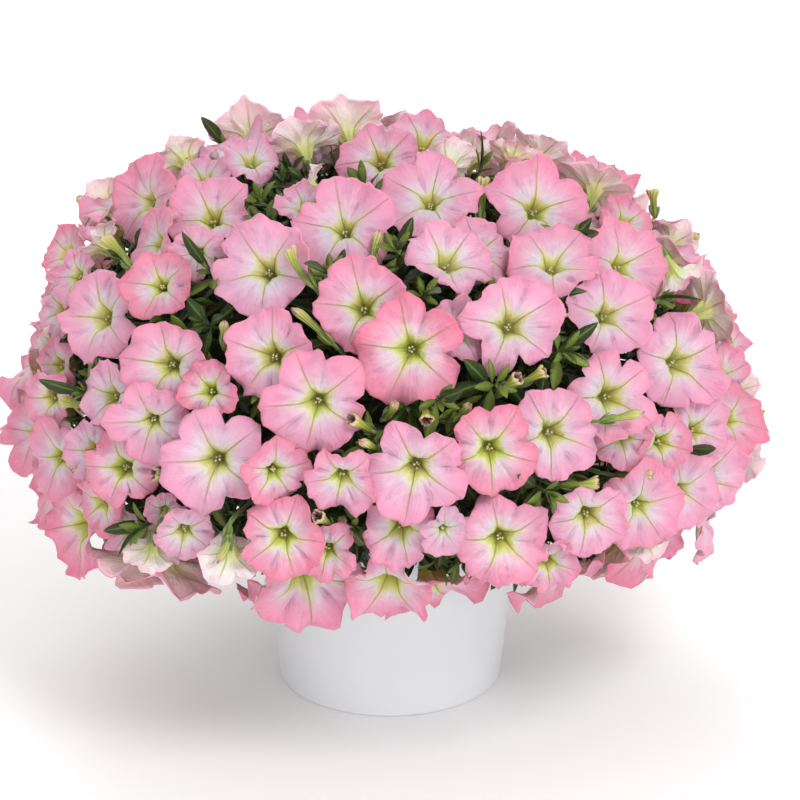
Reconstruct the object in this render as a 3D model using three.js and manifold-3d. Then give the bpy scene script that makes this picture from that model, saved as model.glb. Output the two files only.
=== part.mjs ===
import * as THREE from 'three';
import { ConvexGeometry } from 'three/addons/geometries/ConvexGeometry.js';
import { mergeVertices } from 'three/addons/utils/BufferGeometryUtils.js';
import Module from 'manifold-3d';

const wasm = await Module();
wasm.setup();

// Driving dimensions, in millimetres. The pot stands on z = 0 with its axis on the Z axis.

// Pot
const potHeight = 140;
const potBaseRadius = 78.2;
const potTopRadius = 91.6;
const potWall = 2.6;
const potFloor = 3;
const potSides = 32;
const drainHoles = 4;
const drainRadius = 5;
const drainCircle = 48;

// Soil
const soilTop = 127;
const soilRelief = 1.8;

// Trunk
const trunkRadius = 9;
const trunkDepth = 28;

// Clearance between pieces that touch on the real plant
const seatGap = 0.32;

// Mound: the surface that the open blooms stand on. It leans a little to the left of the
// pot, and its left side is fuller than its right.
const moundMiddle = new THREE.Vector3(-4, 0, 205);
const moundRadius = 244;
const moundRise = 180;
const moundDrop = 94;
const domeRoundness = 2.25;
const skirtRoundness = 2.2;
const sideFullness = { dome: [0.3, -0.2], skirt: [0.9, 1.1], drop: [8, 4] };
const moundFlatness = 0.82;

// Branches: each carries one spray of blooms and leaves the core in its own direction
const branchCount = 48;
const lowestBranchCosine = -0.45;
const coreShare = 0.54;
const forkShare = 0.69;
const forkStep = 5;
const forkRadius = 2.4;
const branchRadius = 2.8;
const branchChoice = 4;

// Bloom, as shares of its own radius where the name says share
const throatRingShare = 0.22;
const throatRingDepthShare = 0.2;
const throatDepthShare = 0.62;
const tubeLengthShare = 1.12;
const notchShare = 0.8;
const deepNotchShare = 0.68;
const notchWaveShare = 0.04;
const lobeWaveShare = 0.06;
const wavePerMillimetre = 0.11;
const largeBloomRadius = 34;
const leastBloomRadius = 22;
const petalThickness = 1;
const tubeEndRadius = 2.2;
const pedicelRadius = 1;
const sinkStep = 2.5;
const shallowSink = 10;
const deepestSink = 40;
const smallestScale = 0.6;

// Leaf
const leafLength = 36;
const leafWidth = 13;
const leafThickness = 0.8;

// Sight lines of the photograph: what is read there is placed along them
const sightPitch = THREE.MathUtils.degToRad(21.2);
const sightDistance = 2200;
const sightTarget = new THREE.Vector3(7, 0, 201);
const focalPixels = 3235;
const pictureMiddle = 400;

// Blooms read in the photograph, in pixels: middle x and y, throat x and y, width
const openBlooms = [
  [410, 345, 415, 337, 110], [512, 318, 508, 322, 103], [212, 458, 216, 452, 107],
  [416, 468, 418, 452, 103], [503, 540, 502, 530, 106], [687, 357, 672, 357, 102],
  [163, 360, 172, 356, 97], [92, 310, 119, 314, 96], [268, 350, 279, 350, 100],
  [262, 262, 273, 267, 98], [342, 220, 347, 229, 84], [381, 150, 381, 158, 82],
  [208, 208, 212, 219, 84], [540, 200, 532, 205, 90], [430, 190, 433, 205, 80],
  [452, 250, 437, 272, 98], [612, 308, 602, 312, 85], [615, 392, 605, 391, 100],
  [556, 430, 549, 425, 100], [492, 448, 490, 437, 100], [712, 480, 699, 467, 95],
  [592, 517, 590, 503, 90], [645, 505, 637, 496, 72], [280, 538, 282, 525, 95],
  [117, 465, 124, 463, 86], [103, 392, 123, 391, 75], [155, 278, 160, 281, 57],
  [140, 195, 166, 193, 75], [315, 400, 318, 387, 104], [340, 478, 343, 456, 80],
  [205, 385, 212, 388, 70], [362, 300, 365, 303, 100], [400, 535, 402, 521, 90],
  [628, 258, 610, 262, 80], [630, 215, 620, 222, 62], [68, 268, 84, 274, 55],
  [150, 235, 172, 241, 55], [200, 168, 203, 186, 60], [305, 198, 303, 212, 56],
  [250, 150, 246, 164, 55], [425, 130, 418, 152, 88], [610, 165, 600, 186, 88],
  [555, 253, 552, 278, 90], [322, 555, 326, 548, 50], [632, 440, 628, 430, 66],
  [667, 440, 660, 436, 60], [702, 425, 694, 428, 52], [738, 412, 728, 420, 52],
  [275, 470, 264, 460, 65], [42, 395, 52, 390, 54], [42, 360, 54, 360, 50],
  [27, 428, 38, 430, 46], [50, 455, 60, 452, 46], [67, 480, 77, 472, 46],
  [94, 504, 104, 494, 46], [116, 537, 126, 525, 60], [182, 533, 178, 520, 55],
  [196, 247, 196, 240, 42], [468, 318, 455, 325, 80], [490, 240, 474, 245, 80],
  [737, 372, 722, 372, 60], [745, 342, 732, 345, 50], [445, 528, 436, 515, 70],
  [552, 566, 548, 556, 60], [46, 302, 58, 304, 50], [58, 245, 68, 250, 42],
  [40, 276, 54, 280, 40], [85, 448, 96, 446, 48], [148, 420, 150, 410, 52],
  [160, 515, 158, 502, 62], [688, 490, 680, 482, 46],
];

// Blooms turned away in the photograph: middle x and y, tube end x and y, width
const turnedBlooms = [
  [178, 150, 188, 160, 46], [100, 195, 112, 200, 42], [88, 232, 108, 244, 52],
  [250, 126, 246, 140, 56], [300, 135, 311, 160, 70], [345, 124, 352, 142, 70],
  [300, 176, 332, 186, 66], [478, 145, 466, 158, 46], [515, 148, 510, 162, 48],
  [445, 156, 455, 168, 50], [542, 148, 532, 160, 44], [597, 178, 594, 196, 46],
  [680, 235, 664, 246, 55], [680, 275, 674, 250, 52], [715, 302, 686, 314, 75],
  [752, 388, 738, 390, 44], [30, 332, 48, 338, 48], [33, 286, 48, 290, 48],
  [150, 552, 148, 526, 84], [228, 558, 226, 544, 58], [650, 541, 652, 528, 56],
  [122, 170, 134, 180, 44],
];

// Shares of the bloom width that the throat and the tube end lie behind the petals, and the
// share of its facing that is read there, with the rest taken from the slope of the mound
const throatLag = 0.45;
const tubeEndLag = 0.52;
const readFacingShare = 0.8;

// Buds and spent blooms read in the photograph, in pixels: tip x and y, base x and y
const buds = [
  [78, 199, 92, 204], [116, 248, 132, 267], [291, 257, 315, 283], [222, 316, 214, 337],
  [292, 304, 330, 329], [379, 226, 372, 246], [58, 396, 82, 403], [656, 190, 660, 213],
  [703, 233, 688, 240], [546, 366, 526, 376], [427, 417, 426, 392], [629, 410, 598, 418],
  [758, 411, 746, 400], [592, 262, 562, 287], [600, 478, 572, 487], [227, 545, 229, 514],
];

const budDrop = 14;
const highestLift = 15;

// Tips of leafy shoots read in the photograph, in pixels
const shootTips = [
  [220, 134], [484, 156], [555, 140], [645, 196], [140, 304], [205, 262], [328, 266],
  [500, 380], [248, 386], [76, 388], [596, 204], [562, 282], [668, 290], [692, 446],
  [550, 490], [662, 532], [348, 536], [132, 528], [205, 545], [398, 240], [440, 395],
  [570, 345], [425, 287], [580, 232],
];
const hiddenShoots = 9;
const shootSeatDepth = 14;
const leavesPerShoot = 3;
const shootRootRadius = 1.7;
const shootTipRadius = 1.1;
const firstShootSeed = 19;

// Hidden side: blooms by rule, each where the widest gap is left
const ruledCount = 71;
const ruledSpots = 500;
const lowestRuledCosine = -0.5;
const hiddenSlope = -0.4;
const ruledBloomWidth = 74;
const ruledLean = 0.55;
const ruledUplift = 0.45;

// A seeded draw between 0 and 1
function seededDraw(seed) {
  let state = seed;
  return () => {
    state = (state + 0x6d2b79f5) | 0;
    let mixed = Math.imul(state ^ (state >>> 15), 1 | state);
    mixed = (mixed + Math.imul(mixed ^ (mixed >>> 7), 61 | mixed)) ^ mixed;
    return ((mixed ^ (mixed >>> 14)) >>> 0) / 4294967296;
  };
}

// Solids: a closed geometry with its shared vertices merged, and back to a named mesh
function solidOf(geometry) {
  const bare = geometry.clone();
  bare.deleteAttribute('normal');
  bare.deleteAttribute('uv');
  const merged = mergeVertices(bare, 1e-4);
  const corners = merged.index.array;
  const kept = [];
  for (let i = 0; i < corners.length; i += 3) {
    const [a, b, c] = [corners[i], corners[i + 1], corners[i + 2]];
    if (a !== b && b !== c && a !== c) kept.push(a, b, c);
  }
  return new wasm.Manifold(new wasm.Mesh({
    numProp: 3,
    vertProperties: Float32Array.from(merged.attributes.position.array),
    triVerts: Uint32Array.from(kept),
  }));
}

function meshOf(solid, name, material) {
  const { vertProperties, triVerts } = solid.getMesh();
  const geometry = new THREE.BufferGeometry();
  geometry.setAttribute('position', new THREE.Float32BufferAttribute(vertProperties, 3));
  geometry.setIndex(Array.from(triVerts));
  const mesh = new THREE.Mesh(geometry, material);
  mesh.name = name;
  return mesh;
}

function joined(solids) {
  return wasm.Manifold.union(solids);
}

// A skin stitched over rings of points. A ring with one point closes the end, and the last
// ring is capped. The ring with fewer points steps first, so both faces of a blade match.
function loftGeometry(rings) {
  const points = rings.flat();
  const triangles = [];
  let start = 0;
  for (let r = 0; r + 1 < rings.length; r++) {
    const here = rings[r].length;
    const there = rings[r + 1].length;
    const next = start + here;
    let i = 0;
    let j = 0;
    while (i < here || j < there) {
      const stepHere = here > 1 ? (i + 1) / here : Infinity;
      const stepThere = there > 1 ? (j + 1) / there : Infinity;
      const a = start + (i % here);
      const b = next + (j % there);
      const hereFirst = stepHere < stepThere || (stepHere === stepThere && here < there);
      if (i < here && (hereFirst || j >= there)) {
        if (here > 1) triangles.push(a, b, start + ((i + 1) % here));
        i++;
      } else {
        if (there > 1) triangles.push(a, b, next + ((j + 1) % there));
        j++;
      }
    }
    start = next;
  }
  for (let k = 1; k + 1 < rings.at(-1).length; k++) {
    triangles.push(start, start + k + 1, start + k);
  }
  const geometry = new THREE.BufferGeometry();
  const coordinates = points.flatMap((p) => [p.x, p.y, p.z]);
  geometry.setAttribute('position', new THREE.Float32BufferAttribute(coordinates, 3));
  geometry.setIndex(triangles);
  return geometry;
}

// Points of a regular ring round an axis, starting at a given turn
function ringOf(middle, axis, radius, count, turn = 0) {
  const side = sideOf(axis);
  const ring = [];
  for (let k = 0; k < count; k++) {
    const arm = side.clone().applyAxisAngle(axis, turn + (k * 2 * Math.PI) / count);
    ring.push(middle.clone().addScaledVector(arm, radius));
  }
  return ring;
}

function sideOf(axis) {
  const helper = Math.abs(axis.z) < 0.9 ? new THREE.Vector3(0, 0, 1) : new THREE.Vector3(1, 0, 0);
  return new THREE.Vector3().crossVectors(helper, axis).normalize();
}

// A straight stem with flat ends, tapered from its root to its tip
function stemSolid(root, tip, rootRadius, tipRadius, sides) {
  const axis = new THREE.Vector3().subVectors(tip, root).normalize();
  const tipRing = ringOf(tip, axis, tipRadius, sides);
  const rootRing = ringOf(root, axis, rootRadius, sides);
  return solidOf(loftGeometry([[tip.clone()], tipRing, rootRing]));
}

// Mound surface: below zero inside it
function moundLevel(point) {
  const x = point.x - moundMiddle.x;
  const y = point.y - moundMiddle.y;
  const z = point.z - moundMiddle.z;
  const across = Math.hypot(x, y);
  const sideways = across > 0 ? (x / across) ** 2 : 0;
  const side = x < 0 ? 0 : 1;
  const low = z < 0;
  const height = low ? moundDrop + sideFullness.drop[side] * sideways : moundRise;
  const roundness = low ? skirtRoundness : domeRoundness;
  const fullness = low ? sideFullness.skirt[side] : sideFullness.dome[side];
  const power = roundness + fullness * sideways;
  return (across / moundRadius) ** power + (Math.abs(z) / height) ** power - 1;
}

function moundNormal(point) {
  const reach = 0.5;
  const slope = (axis) => {
    const step = new THREE.Vector3().setComponent(axis, reach);
    return moundLevel(point.clone().add(step)) - moundLevel(point.clone().sub(step));
  };
  return new THREE.Vector3(slope(0), slope(1), slope(2)).normalize();
}

// Distance from the middle of the mound to its surface along a direction
function moundReach(direction) {
  let inner = 0;
  let outer = moundRadius * 1.5;
  for (let k = 0; k < 30; k++) {
    const half = (inner + outer) / 2;
    const inside = moundLevel(moundMiddle.clone().addScaledVector(direction, half)) < 0;
    if (inside) inner = half;
    else outer = half;
  }
  return inner;
}

function onMound(point) {
  const direction = new THREE.Vector3().subVectors(point, moundMiddle).normalize();
  return moundMiddle.clone().addScaledVector(direction, moundReach(direction));
}

// Sight axes, and the point where the sight line through a pixel meets the mound, or the
// point of the mound nearest to it
const sightForward = new THREE.Vector3(0, Math.cos(sightPitch), -Math.sin(sightPitch));
const sightUp = new THREE.Vector3(0, Math.sin(sightPitch), Math.cos(sightPitch));
const sightRight = new THREE.Vector3(1, 0, 0);
const sightEye = sightTarget.clone().addScaledVector(sightForward, -sightDistance);

function seenOnMound(pixelX, pixelY) {
  const line = sightForward.clone().multiplyScalar(focalPixels)
    .addScaledVector(sightRight, pixelX - pictureMiddle)
    .addScaledVector(sightUp, pictureMiddle - pixelY)
    .normalize();
  const step = 1.5;
  let best = null;
  let bestLevel = Infinity;
  for (let away = sightDistance - 320; away < sightDistance + 320; away += step) {
    const point = sightEye.clone().addScaledVector(line, away);
    const level = moundLevel(point);
    if (level < bestLevel) {
      bestLevel = level;
      best = point;
    }
    if (level < 0) break;
  }
  return onMound(best);
}

function pixelSize(point) {
  const away = new THREE.Vector3().subVectors(point, sightEye).dot(sightForward);
  return away / focalPixels;
}

// Facing of a bloom: how far its throat or tube end lies from its middle in the photograph,
// evened out with the slope of the mound
function readBloom([x, y, lagX, lagY, width], lag, towardsEye) {
  const middle = seenOnMound(x, y);
  let right = (x - lagX) / (lag * width);
  let up = (lagY - y) / (lag * width);
  const lean = Math.hypot(right, up);
  const steepest = 0.97;
  if (lean > steepest) {
    right *= steepest / lean;
    up *= steepest / lean;
  }
  const depth = Math.sqrt(1 - right * right - up * up) * (towardsEye ? -1 : 1);
  const seen = new THREE.Vector3()
    .addScaledVector(sightRight, right)
    .addScaledVector(sightUp, up)
    .addScaledVector(sightForward, depth);
  const facing = seen.multiplyScalar(readFacingShare)
    .addScaledVector(moundNormal(middle), 1 - readFacingShare)
    .normalize();
  const radius = Math.max((width * pixelSize(middle)) / 2, leastBloomRadius);
  return { middle, facing, radius, petalPoints: 3 };
}

// Directions spread evenly over the mound by the golden angle, from the top to the skirt
function spreadDirections(count, lowestCosine, turn = 0) {
  const goldenAngle = Math.PI * (3 - Math.sqrt(5));
  const directions = [];
  for (let k = 0; k < count; k++) {
    const cosine = 1 - ((k + 0.5) / count) * (1 - lowestCosine);
    const sine = Math.sqrt(1 - cosine * cosine);
    const angle = k * goldenAngle + turn;
    const direction = new THREE.Vector3(sine * Math.cos(angle), sine * Math.sin(angle), 0);
    directions.push(direction.setZ(cosine * moundFlatness).normalize());
  }
  return directions;
}

// Blooms of the hidden side: each stands on the spot that is furthest from the edges of all
// the blooms before it, and turns up a little towards the light
function ruledBlooms(readOnes) {
  const draw = seededDraw(7);
  const spots = spreadDirections(ruledSpots, lowestRuledCosine)
    .map((direction) => moundMiddle.clone().addScaledVector(direction, moundReach(direction)))
    .filter((spot) => moundNormal(spot).dot(sightForward) > hiddenSlope);
  const found = [];
  for (let k = 0; k < ruledCount; k++) {
    const settled = [...readOnes, ...found];
    const gapAt = (spot) => Math.min(...settled.map((b) => b.middle.distanceTo(spot) - b.radius));
    const middle = spots.reduce((best, spot) => (gapAt(spot) > gapAt(best) ? spot : best));
    const lean = new THREE.Vector3(draw() - 0.5, draw() - 0.5, draw() - 0.5).multiplyScalar(ruledLean);
    const uplift = new THREE.Vector3(0, 0, ruledUplift);
    const facing = moundNormal(middle).add(lean).add(uplift).normalize();
    const width = ruledBloomWidth * (0.88 + 0.24 * draw());
    found.push({ middle, facing, radius: width / 2, petalPoints: 2 });
  }
  return found;
}

// One bloom: five joined petals with a waved rim, a throat and a tube, and the stalk that
// runs on from the tube through the points of its path. The wave follows from its place.
// Only the largest blooms have three points on the rim of each petal. The others have two,
// with deeper notches.
function bloomSolid({ middle, facing, radius, petalPoints }, path) {
  const at = (share) => middle.clone().addScaledVector(facing, share * radius);
  const throat = at(-throatDepthShare);
  const phase = wavePerMillimetre * (throat.x + throat.y + throat.z);
  const turn = phase * 3;
  const throatRing = ringOf(at(-throatRingDepthShare), facing, throatRingShare * radius, 5, turn);
  const pointsPerPetal = radius < largeBloomRadius ? 2 : petalPoints;
  const notchReach = pointsPerPetal === 2 ? deepNotchShare : notchShare;
  const rim = ringOf(middle, facing, radius, 5 * pointsPerPetal, turn).map((point, k) => {
    const notch = k % pointsPerPetal === 0;
    const notchWave = notchWaveShare * (1 + Math.cos(phase + k));
    const wave = notch ? notchWave : lobeWaveShare * Math.sin(phase + 1.3 * k);
    return point.sub(middle).multiplyScalar(notch ? notchReach : 1).add(at(wave));
  });
  const back = facing.clone().multiplyScalar(-petalThickness);
  const rimBack = rim.map((point) => point.clone().add(back));
  const collar = at(-throatRingDepthShare).addScaledVector(facing, -petalThickness * 1.2);
  const collarRing = ringOf(collar, facing, throatRingShare * radius + petalThickness, 5, turn);
  const rings = [[throat], throatRing, rim, rimBack, collarRing];
  const stops = [at(-tubeLengthShare), ...path];
  const carriesBranch = path.length > 1;
  const widths = [tubeEndRadius, carriesBranch ? forkRadius : pedicelRadius, branchRadius];
  let incoming = facing.clone().negate();
  stops.forEach((stop, k) => {
    const next = stops[k + 1];
    const outgoing = next ? new THREE.Vector3().subVectors(next, stop).normalize() : incoming;
    const mitre = incoming.clone().add(outgoing).normalize();
    const carry = new THREE.Quaternion().setFromUnitVectors(facing, mitre.negate());
    const flat = ringOf(new THREE.Vector3(), facing, widths[k], 3, turn);
    rings.push(flat.map((point) => point.applyQuaternion(carry).add(stop)));
    incoming = outgoing;
  });
  return solidOf(loftGeometry(rings));
}

// Solids placed so far, each with its bounding box, so that only near ones are measured
function boxOf(solid) {
  const { min, max } = solid.boundingBox();
  return new THREE.Box3(new THREE.Vector3(...min), new THREE.Vector3(...max)).expandByScalar(seatGap);
}

function isClear(solid, others) {
  const box = boxOf(solid);
  return others.every((o) => !o.box.intersectsBox(box) || solid.minGap(o.solid, 1) > seatGap);
}

// Pot: a plain tapered shell with drain holes round the middle of its floor
function makePot() {
  const slope = (potTopRadius - potBaseRadius) / potHeight;
  const innerFloorRadius = potBaseRadius - potWall + slope * potFloor;
  const profile = [
    new THREE.Vector2(0, 0),
    new THREE.Vector2(potBaseRadius, 0),
    new THREE.Vector2(potTopRadius, potHeight),
    new THREE.Vector2(potTopRadius - potWall, potHeight),
    new THREE.Vector2(innerFloorRadius, potFloor),
    new THREE.Vector2(0, potFloor),
  ];
  const shell = solidOf(new THREE.LatheGeometry(profile, potSides).rotateX(Math.PI / 2));
  const holes = [];
  for (let k = 0; k < drainHoles; k++) {
    const angle = (k * 2 * Math.PI) / drainHoles;
    const hole = new THREE.CylinderGeometry(drainRadius, drainRadius, potFloor * 3, 6);
    hole.rotateX(Math.PI / 2);
    hole.translate(drainCircle * Math.cos(angle), drainCircle * Math.sin(angle), potFloor / 2);
    holes.push(solidOf(hole));
  }
  return shell.subtract(joined(holes));
}

// Soil: fills the pot to just below its rim, with a slightly uneven top
function makeSoil(crownHole) {
  const slope = (potTopRadius - potBaseRadius) / potHeight;
  const wallAt = (z) => potBaseRadius - potWall + slope * z - seatGap / Math.cos(Math.atan(slope));
  const bottom = potFloor + seatGap;
  const profile = [
    new THREE.Vector2(0, bottom),
    new THREE.Vector2(wallAt(bottom), bottom),
    new THREE.Vector2(wallAt(soilTop), soilTop),
    new THREE.Vector2(56, soilTop),
    new THREE.Vector2(26, soilTop),
    new THREE.Vector2(0, soilTop),
  ];
  const geometry = new THREE.LatheGeometry(profile, potSides / 2).rotateX(Math.PI / 2);
  const position = geometry.attributes.position;
  for (let k = 0; k < position.count; k++) {
    const x = position.getX(k);
    const y = position.getY(k);
    const onTop = position.getZ(k) > soilTop - 0.01 && Math.hypot(x, y) < 70;
    if (onTop) position.setZ(k, soilTop + soilRelief * Math.sin(0.11 * x + 1) * Math.cos(0.13 * y));
  }
  return solidOf(geometry).subtract(crownHole);
}

// Core: the dark dense middle of the bush, with a corner under the root of each branch
function coreReach(direction) {
  return coreShare * moundReach(direction);
}

function makeCore(directions) {
  const corners = directions.map((d) => moundMiddle.clone().addScaledVector(d, coreReach(d)));
  return solidOf(new ConvexGeometry(corners));
}

// Leaf: a narrow pointed blade folded along its midrib
function leafSolid(base, along, upward, length, width) {
  const side = new THREE.Vector3().crossVectors(along, upward).normalize();
  const lift = new THREE.Vector3().crossVectors(side, along).normalize();
  const at = (share, across, rise) => base.clone()
    .addScaledVector(along, share * length)
    .addScaledVector(side, across * width)
    .addScaledVector(lift, rise);
  const top = [at(0, 0, 0), at(0.48, 0.5, 1.2), at(1, 0, -2), at(0.48, -0.5, 1.2)];
  const drop = lift.clone().multiplyScalar(-leafThickness);
  const bottom = top.map((point) => point.clone().add(drop));
  const midrib = at(0.5, 0, -0.8);
  return solidOf(loftGeometry([[midrib], top, bottom, [midrib.clone().add(drop)]]));
}

// Bud or spent bloom: a slim green spindle that ends in a blunt tip
function budSolid(base, tip) {
  const axis = new THREE.Vector3().subVectors(tip, base).normalize();
  const length = tip.distanceTo(base);
  const at = (share) => base.clone().addScaledVector(axis, share * length);
  return solidOf(loftGeometry([[tip], ringOf(at(0.85), axis, 2.6, 4), ringOf(at(0.4), axis, 3, 4),
    ringOf(base, axis, 1.5, 4)]));
}

// A leafy shoot: a thin stem out of the core with leaves set round its outer half
function shootPieces(tip, blockers, seed) {
  const draw = seededDraw(seed);
  const direction = new THREE.Vector3().subVectors(tip, moundMiddle).normalize();
  const root = moundMiddle.clone().addScaledVector(direction, coreReach(direction) - shootSeatDepth);
  let end = tip.clone();
  let stem = stemSolid(root, end, shootRootRadius, shootTipRadius, 3);
  let tries = 0;
  while (!isClear(stem, blockers) && tries < 8) {
    end = end.lerp(root, 0.12);
    stem = stemSolid(root, end, shootRootRadius, shootTipRadius, 3);
    tries++;
  }
  if (!isClear(stem, blockers)) return [];
  const pieces = [stem];
  const span = end.distanceTo(root);
  const side = sideOf(direction);
  for (let k = 0; k < leavesPerShoot; k++) {
    const share = 1 - (0.1 + 0.55 * (k / leavesPerShoot)) * Math.min(1, 60 / span);
    const turn = k * 2.4 + 6.28 * draw();
    const spread = k === 0 ? 0.25 : 0.75 + 0.25 * draw();
    const length = leafLength * (0.75 + 0.4 * draw());
    const outward = side.clone().applyAxisAngle(direction, turn);
    const along = direction.clone().multiplyScalar(Math.cos(spread))
      .addScaledVector(outward, Math.sin(spread)).normalize();
    const base = root.clone().lerp(end, share);
    const leaf = leafSolid(base, along, direction, length, leafWidth * (0.8 + 0.3 * draw()));
    if (isClear(leaf, blockers)) pieces.push(leaf);
  }
  return pieces;
}

// Branches: each stands on a corner of the core, and its blooms part from it at forks
const directions = spreadDirections(branchCount, lowestBranchCosine);
const branches = directions.map((direction) => ({
  direction,
  fork: moundMiddle.clone().addScaledVector(direction, forkShare * moundReach(direction)),
  root: moundMiddle.clone().addScaledVector(direction, coreReach(direction) + seatGap + 0.05),
  blooms: [],
}));

const readBlooms = [
  ...openBlooms.map((row) => readBloom(row, throatLag, true)),
  ...turnedBlooms.map((row) => readBloom(row, tubeEndLag, false)),
];
const allBlooms = [...readBlooms, ...ruledBlooms(readBlooms)];

const potSolid = makePot();
const coreSolid = makeCore(directions);
const fixed = [potSolid, coreSolid].map((solid) => ({ solid, head: solid, box: boxOf(solid) }));
for (const branch of branches) {
  const stem = stemSolid(branch.root, branch.fork, branchRadius, forkRadius, 3);
  branch.stem = { solid: stem, box: boxOf(stem) };
}

// A bloom on a branch: the first runs on down the branch to its root, and the next ones
// join it at forks one step apart. Nothing is given back where it would touch another.
function tryBloom(bloom, branch) {
  const count = branch.blooms.length;
  const fork = branch.fork.clone().addScaledVector(branch.direction, -forkStep * count);
  const head = bloomSolid(bloom, []);
  const whole = bloomSolid(bloom, count === 0 ? [fork, branch.root] : [fork]);
  const mates = branch.blooms;
  const mateHeads = mates.map((mate) => ({ solid: mate.head, box: mate.box }));
  const others = branches.filter((b) => b !== branch).flatMap((b) => [b.stem, ...b.blooms]);
  const clear = isClear(whole, [...fixed, ...others, ...mateHeads]) && isClear(head, mates);
  return clear ? { solid: whole, head, box: boxOf(whole) } : null;
}

// Every bloom grows on one of the branches nearest to it. Where it would touch another
// bloom it stands further in, and past that it is smaller.
function growBloom(bloom) {
  const direction = new THREE.Vector3().subVectors(bloom.middle, moundMiddle).normalize();
  const nearness = (branch) => branch.direction.dot(direction);
  const nearest = [...branches].sort((a, b) => nearness(b) - nearness(a)).slice(0, branchChoice);
  for (let scale = 1; scale > smallestScale - 0.05; scale -= 0.1) {
    const furthest = scale > smallestScale + 0.05 ? shallowSink : deepestSink;
    for (let sink = 0; sink <= furthest; sink += sinkStep) {
      for (const branch of nearest) {
        const middle = bloom.middle.clone().addScaledVector(bloom.facing, -sink);
        const grown = tryBloom({ ...bloom, middle, radius: scale * bloom.radius }, branch);
        if (grown) {
          branch.blooms.push(grown);
          return true;
        }
      }
    }
  }
  return false;
}
allBlooms.forEach(growBloom);

const bearing = branches.filter((branch) => branch.blooms.length > 0);
const pinkPieces = bearing.flatMap((branch) => branch.blooms);

// Leafy bush: trunk, core, shoots with leaves, and buds, fused into one plant
const trunkFoot = soilTop - trunkDepth;
const onAxis = (z) => new THREE.Vector3(0, 0, z);
const trunkTop = onAxis(moundMiddle.z - 30);
const trunk = stemSolid(onAxis(trunkFoot), trunkTop, trunkRadius * 0.8, trunkRadius, 8);
const holeRadius = trunkRadius + 2 * seatGap;
const trunkHole = stemSolid(onAxis(trunkFoot - seatGap), onAxis(potHeight), holeRadius, holeRadius, 8);

const hiddenTips = spreadDirections(hiddenShoots * 2, -0.3, 1.1)
  .map((direction) => moundMiddle.clone().addScaledVector(direction, moundReach(direction)))
  .filter((tip) => moundNormal(tip).dot(sightForward) > 0);
const allTips = [...shootTips.map(([x, y]) => seenOnMound(x, y)), ...hiddenTips];
const bushPieces = [coreSolid, trunk];
allTips.forEach((tip, k) => bushPieces.push(...shootPieces(tip, pinkPieces, firstShootSeed + k)));
for (const [tipX, tipY, baseX, baseY] of buds) {
  const tip = seenOnMound(tipX, tipY);
  const base = seenOnMound(baseX, baseY);
  base.addScaledVector(moundNormal(base), -budDrop);
  for (let lift = 0; lift <= highestLift; lift += 3) {
    const rise = moundNormal(tip).multiplyScalar(lift);
    const raisedTip = tip.clone().add(rise);
    const raisedBase = base.clone().add(rise);
    const direction = new THREE.Vector3().subVectors(raisedBase, moundMiddle).normalize();
    const root = moundMiddle.clone().addScaledVector(direction, coreReach(direction) - shootSeatDepth);
    const bud = budSolid(raisedBase, raisedTip);
    const stalkEnd = raisedBase.clone().lerp(raisedTip, 0.1);
    const stalk = stemSolid(root, stalkEnd, shootRootRadius, shootTipRadius, 3);
    if (isClear(bud, pinkPieces) && isClear(stalk, pinkPieces)) {
      bushPieces.push(bud, stalk);
      break;
    }
  }
}

// The part
const paint = (color, roughness) => new THREE.MeshStandardMaterial({ color, roughness, metalness: 0 });
const part = new THREE.Group();
part.add(meshOf(potSolid, 'pot', paint(0xe4e5e6, 0.45)));
part.add(meshOf(makeSoil(trunkHole), 'soil', paint(0x3a2b20, 0.95)));
part.add(meshOf(joined(bushPieces), 'leafy_bush', paint(0x3c6628, 0.6)));
bearing.forEach((branch, k) => {
  const spray = joined(branch.blooms.map((bloom) => bloom.solid));
  const name = `bloom_spray_${String(k + 1).padStart(2, '0')}`;
  part.add(meshOf(spray, name, paint(0xf3a3c5, 0.55)));
});

export default part;
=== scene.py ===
import math
import random
from functools import partial, reduce

import bmesh
import bpy
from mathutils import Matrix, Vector, noise
from mathutils.bvhtree import BVHTree
from mathutils.kdtree import KDTree


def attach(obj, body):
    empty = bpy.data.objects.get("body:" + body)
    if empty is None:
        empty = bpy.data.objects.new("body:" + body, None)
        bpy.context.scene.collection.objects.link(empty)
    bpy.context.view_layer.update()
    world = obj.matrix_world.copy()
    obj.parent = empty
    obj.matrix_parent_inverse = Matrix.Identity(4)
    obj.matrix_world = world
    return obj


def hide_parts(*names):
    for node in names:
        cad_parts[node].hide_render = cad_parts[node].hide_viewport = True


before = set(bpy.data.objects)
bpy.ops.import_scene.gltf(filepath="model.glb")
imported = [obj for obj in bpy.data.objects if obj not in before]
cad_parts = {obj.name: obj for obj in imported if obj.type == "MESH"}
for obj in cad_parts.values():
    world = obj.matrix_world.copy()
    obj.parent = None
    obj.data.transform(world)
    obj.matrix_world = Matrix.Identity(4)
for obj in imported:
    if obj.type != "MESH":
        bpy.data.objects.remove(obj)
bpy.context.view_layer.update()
MM = 0.001

# Studio
# A pale floor under a white surround, four broad soft lamps, and a camera that looks down
# at the plant by the angle at which the photograph sees it.
SIGHT_PITCH = math.radians(21.2)
SIGHT_DISTANCE = 2200 * MM
SIGHT_TARGET = Vector((7, 0, 201)) * MM
FOCAL_PIXELS = 3235
PICTURE_MIDDLE = 400
# The camera takes in a little more than the sight lines, so that the plant is as wide in the
# picture as in the photograph
CAMERA_REACH = 0.988
CAMERA_LIFT = Vector((0, 0, 3)) * MM
SENSOR_WIDTH = 36.0
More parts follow.
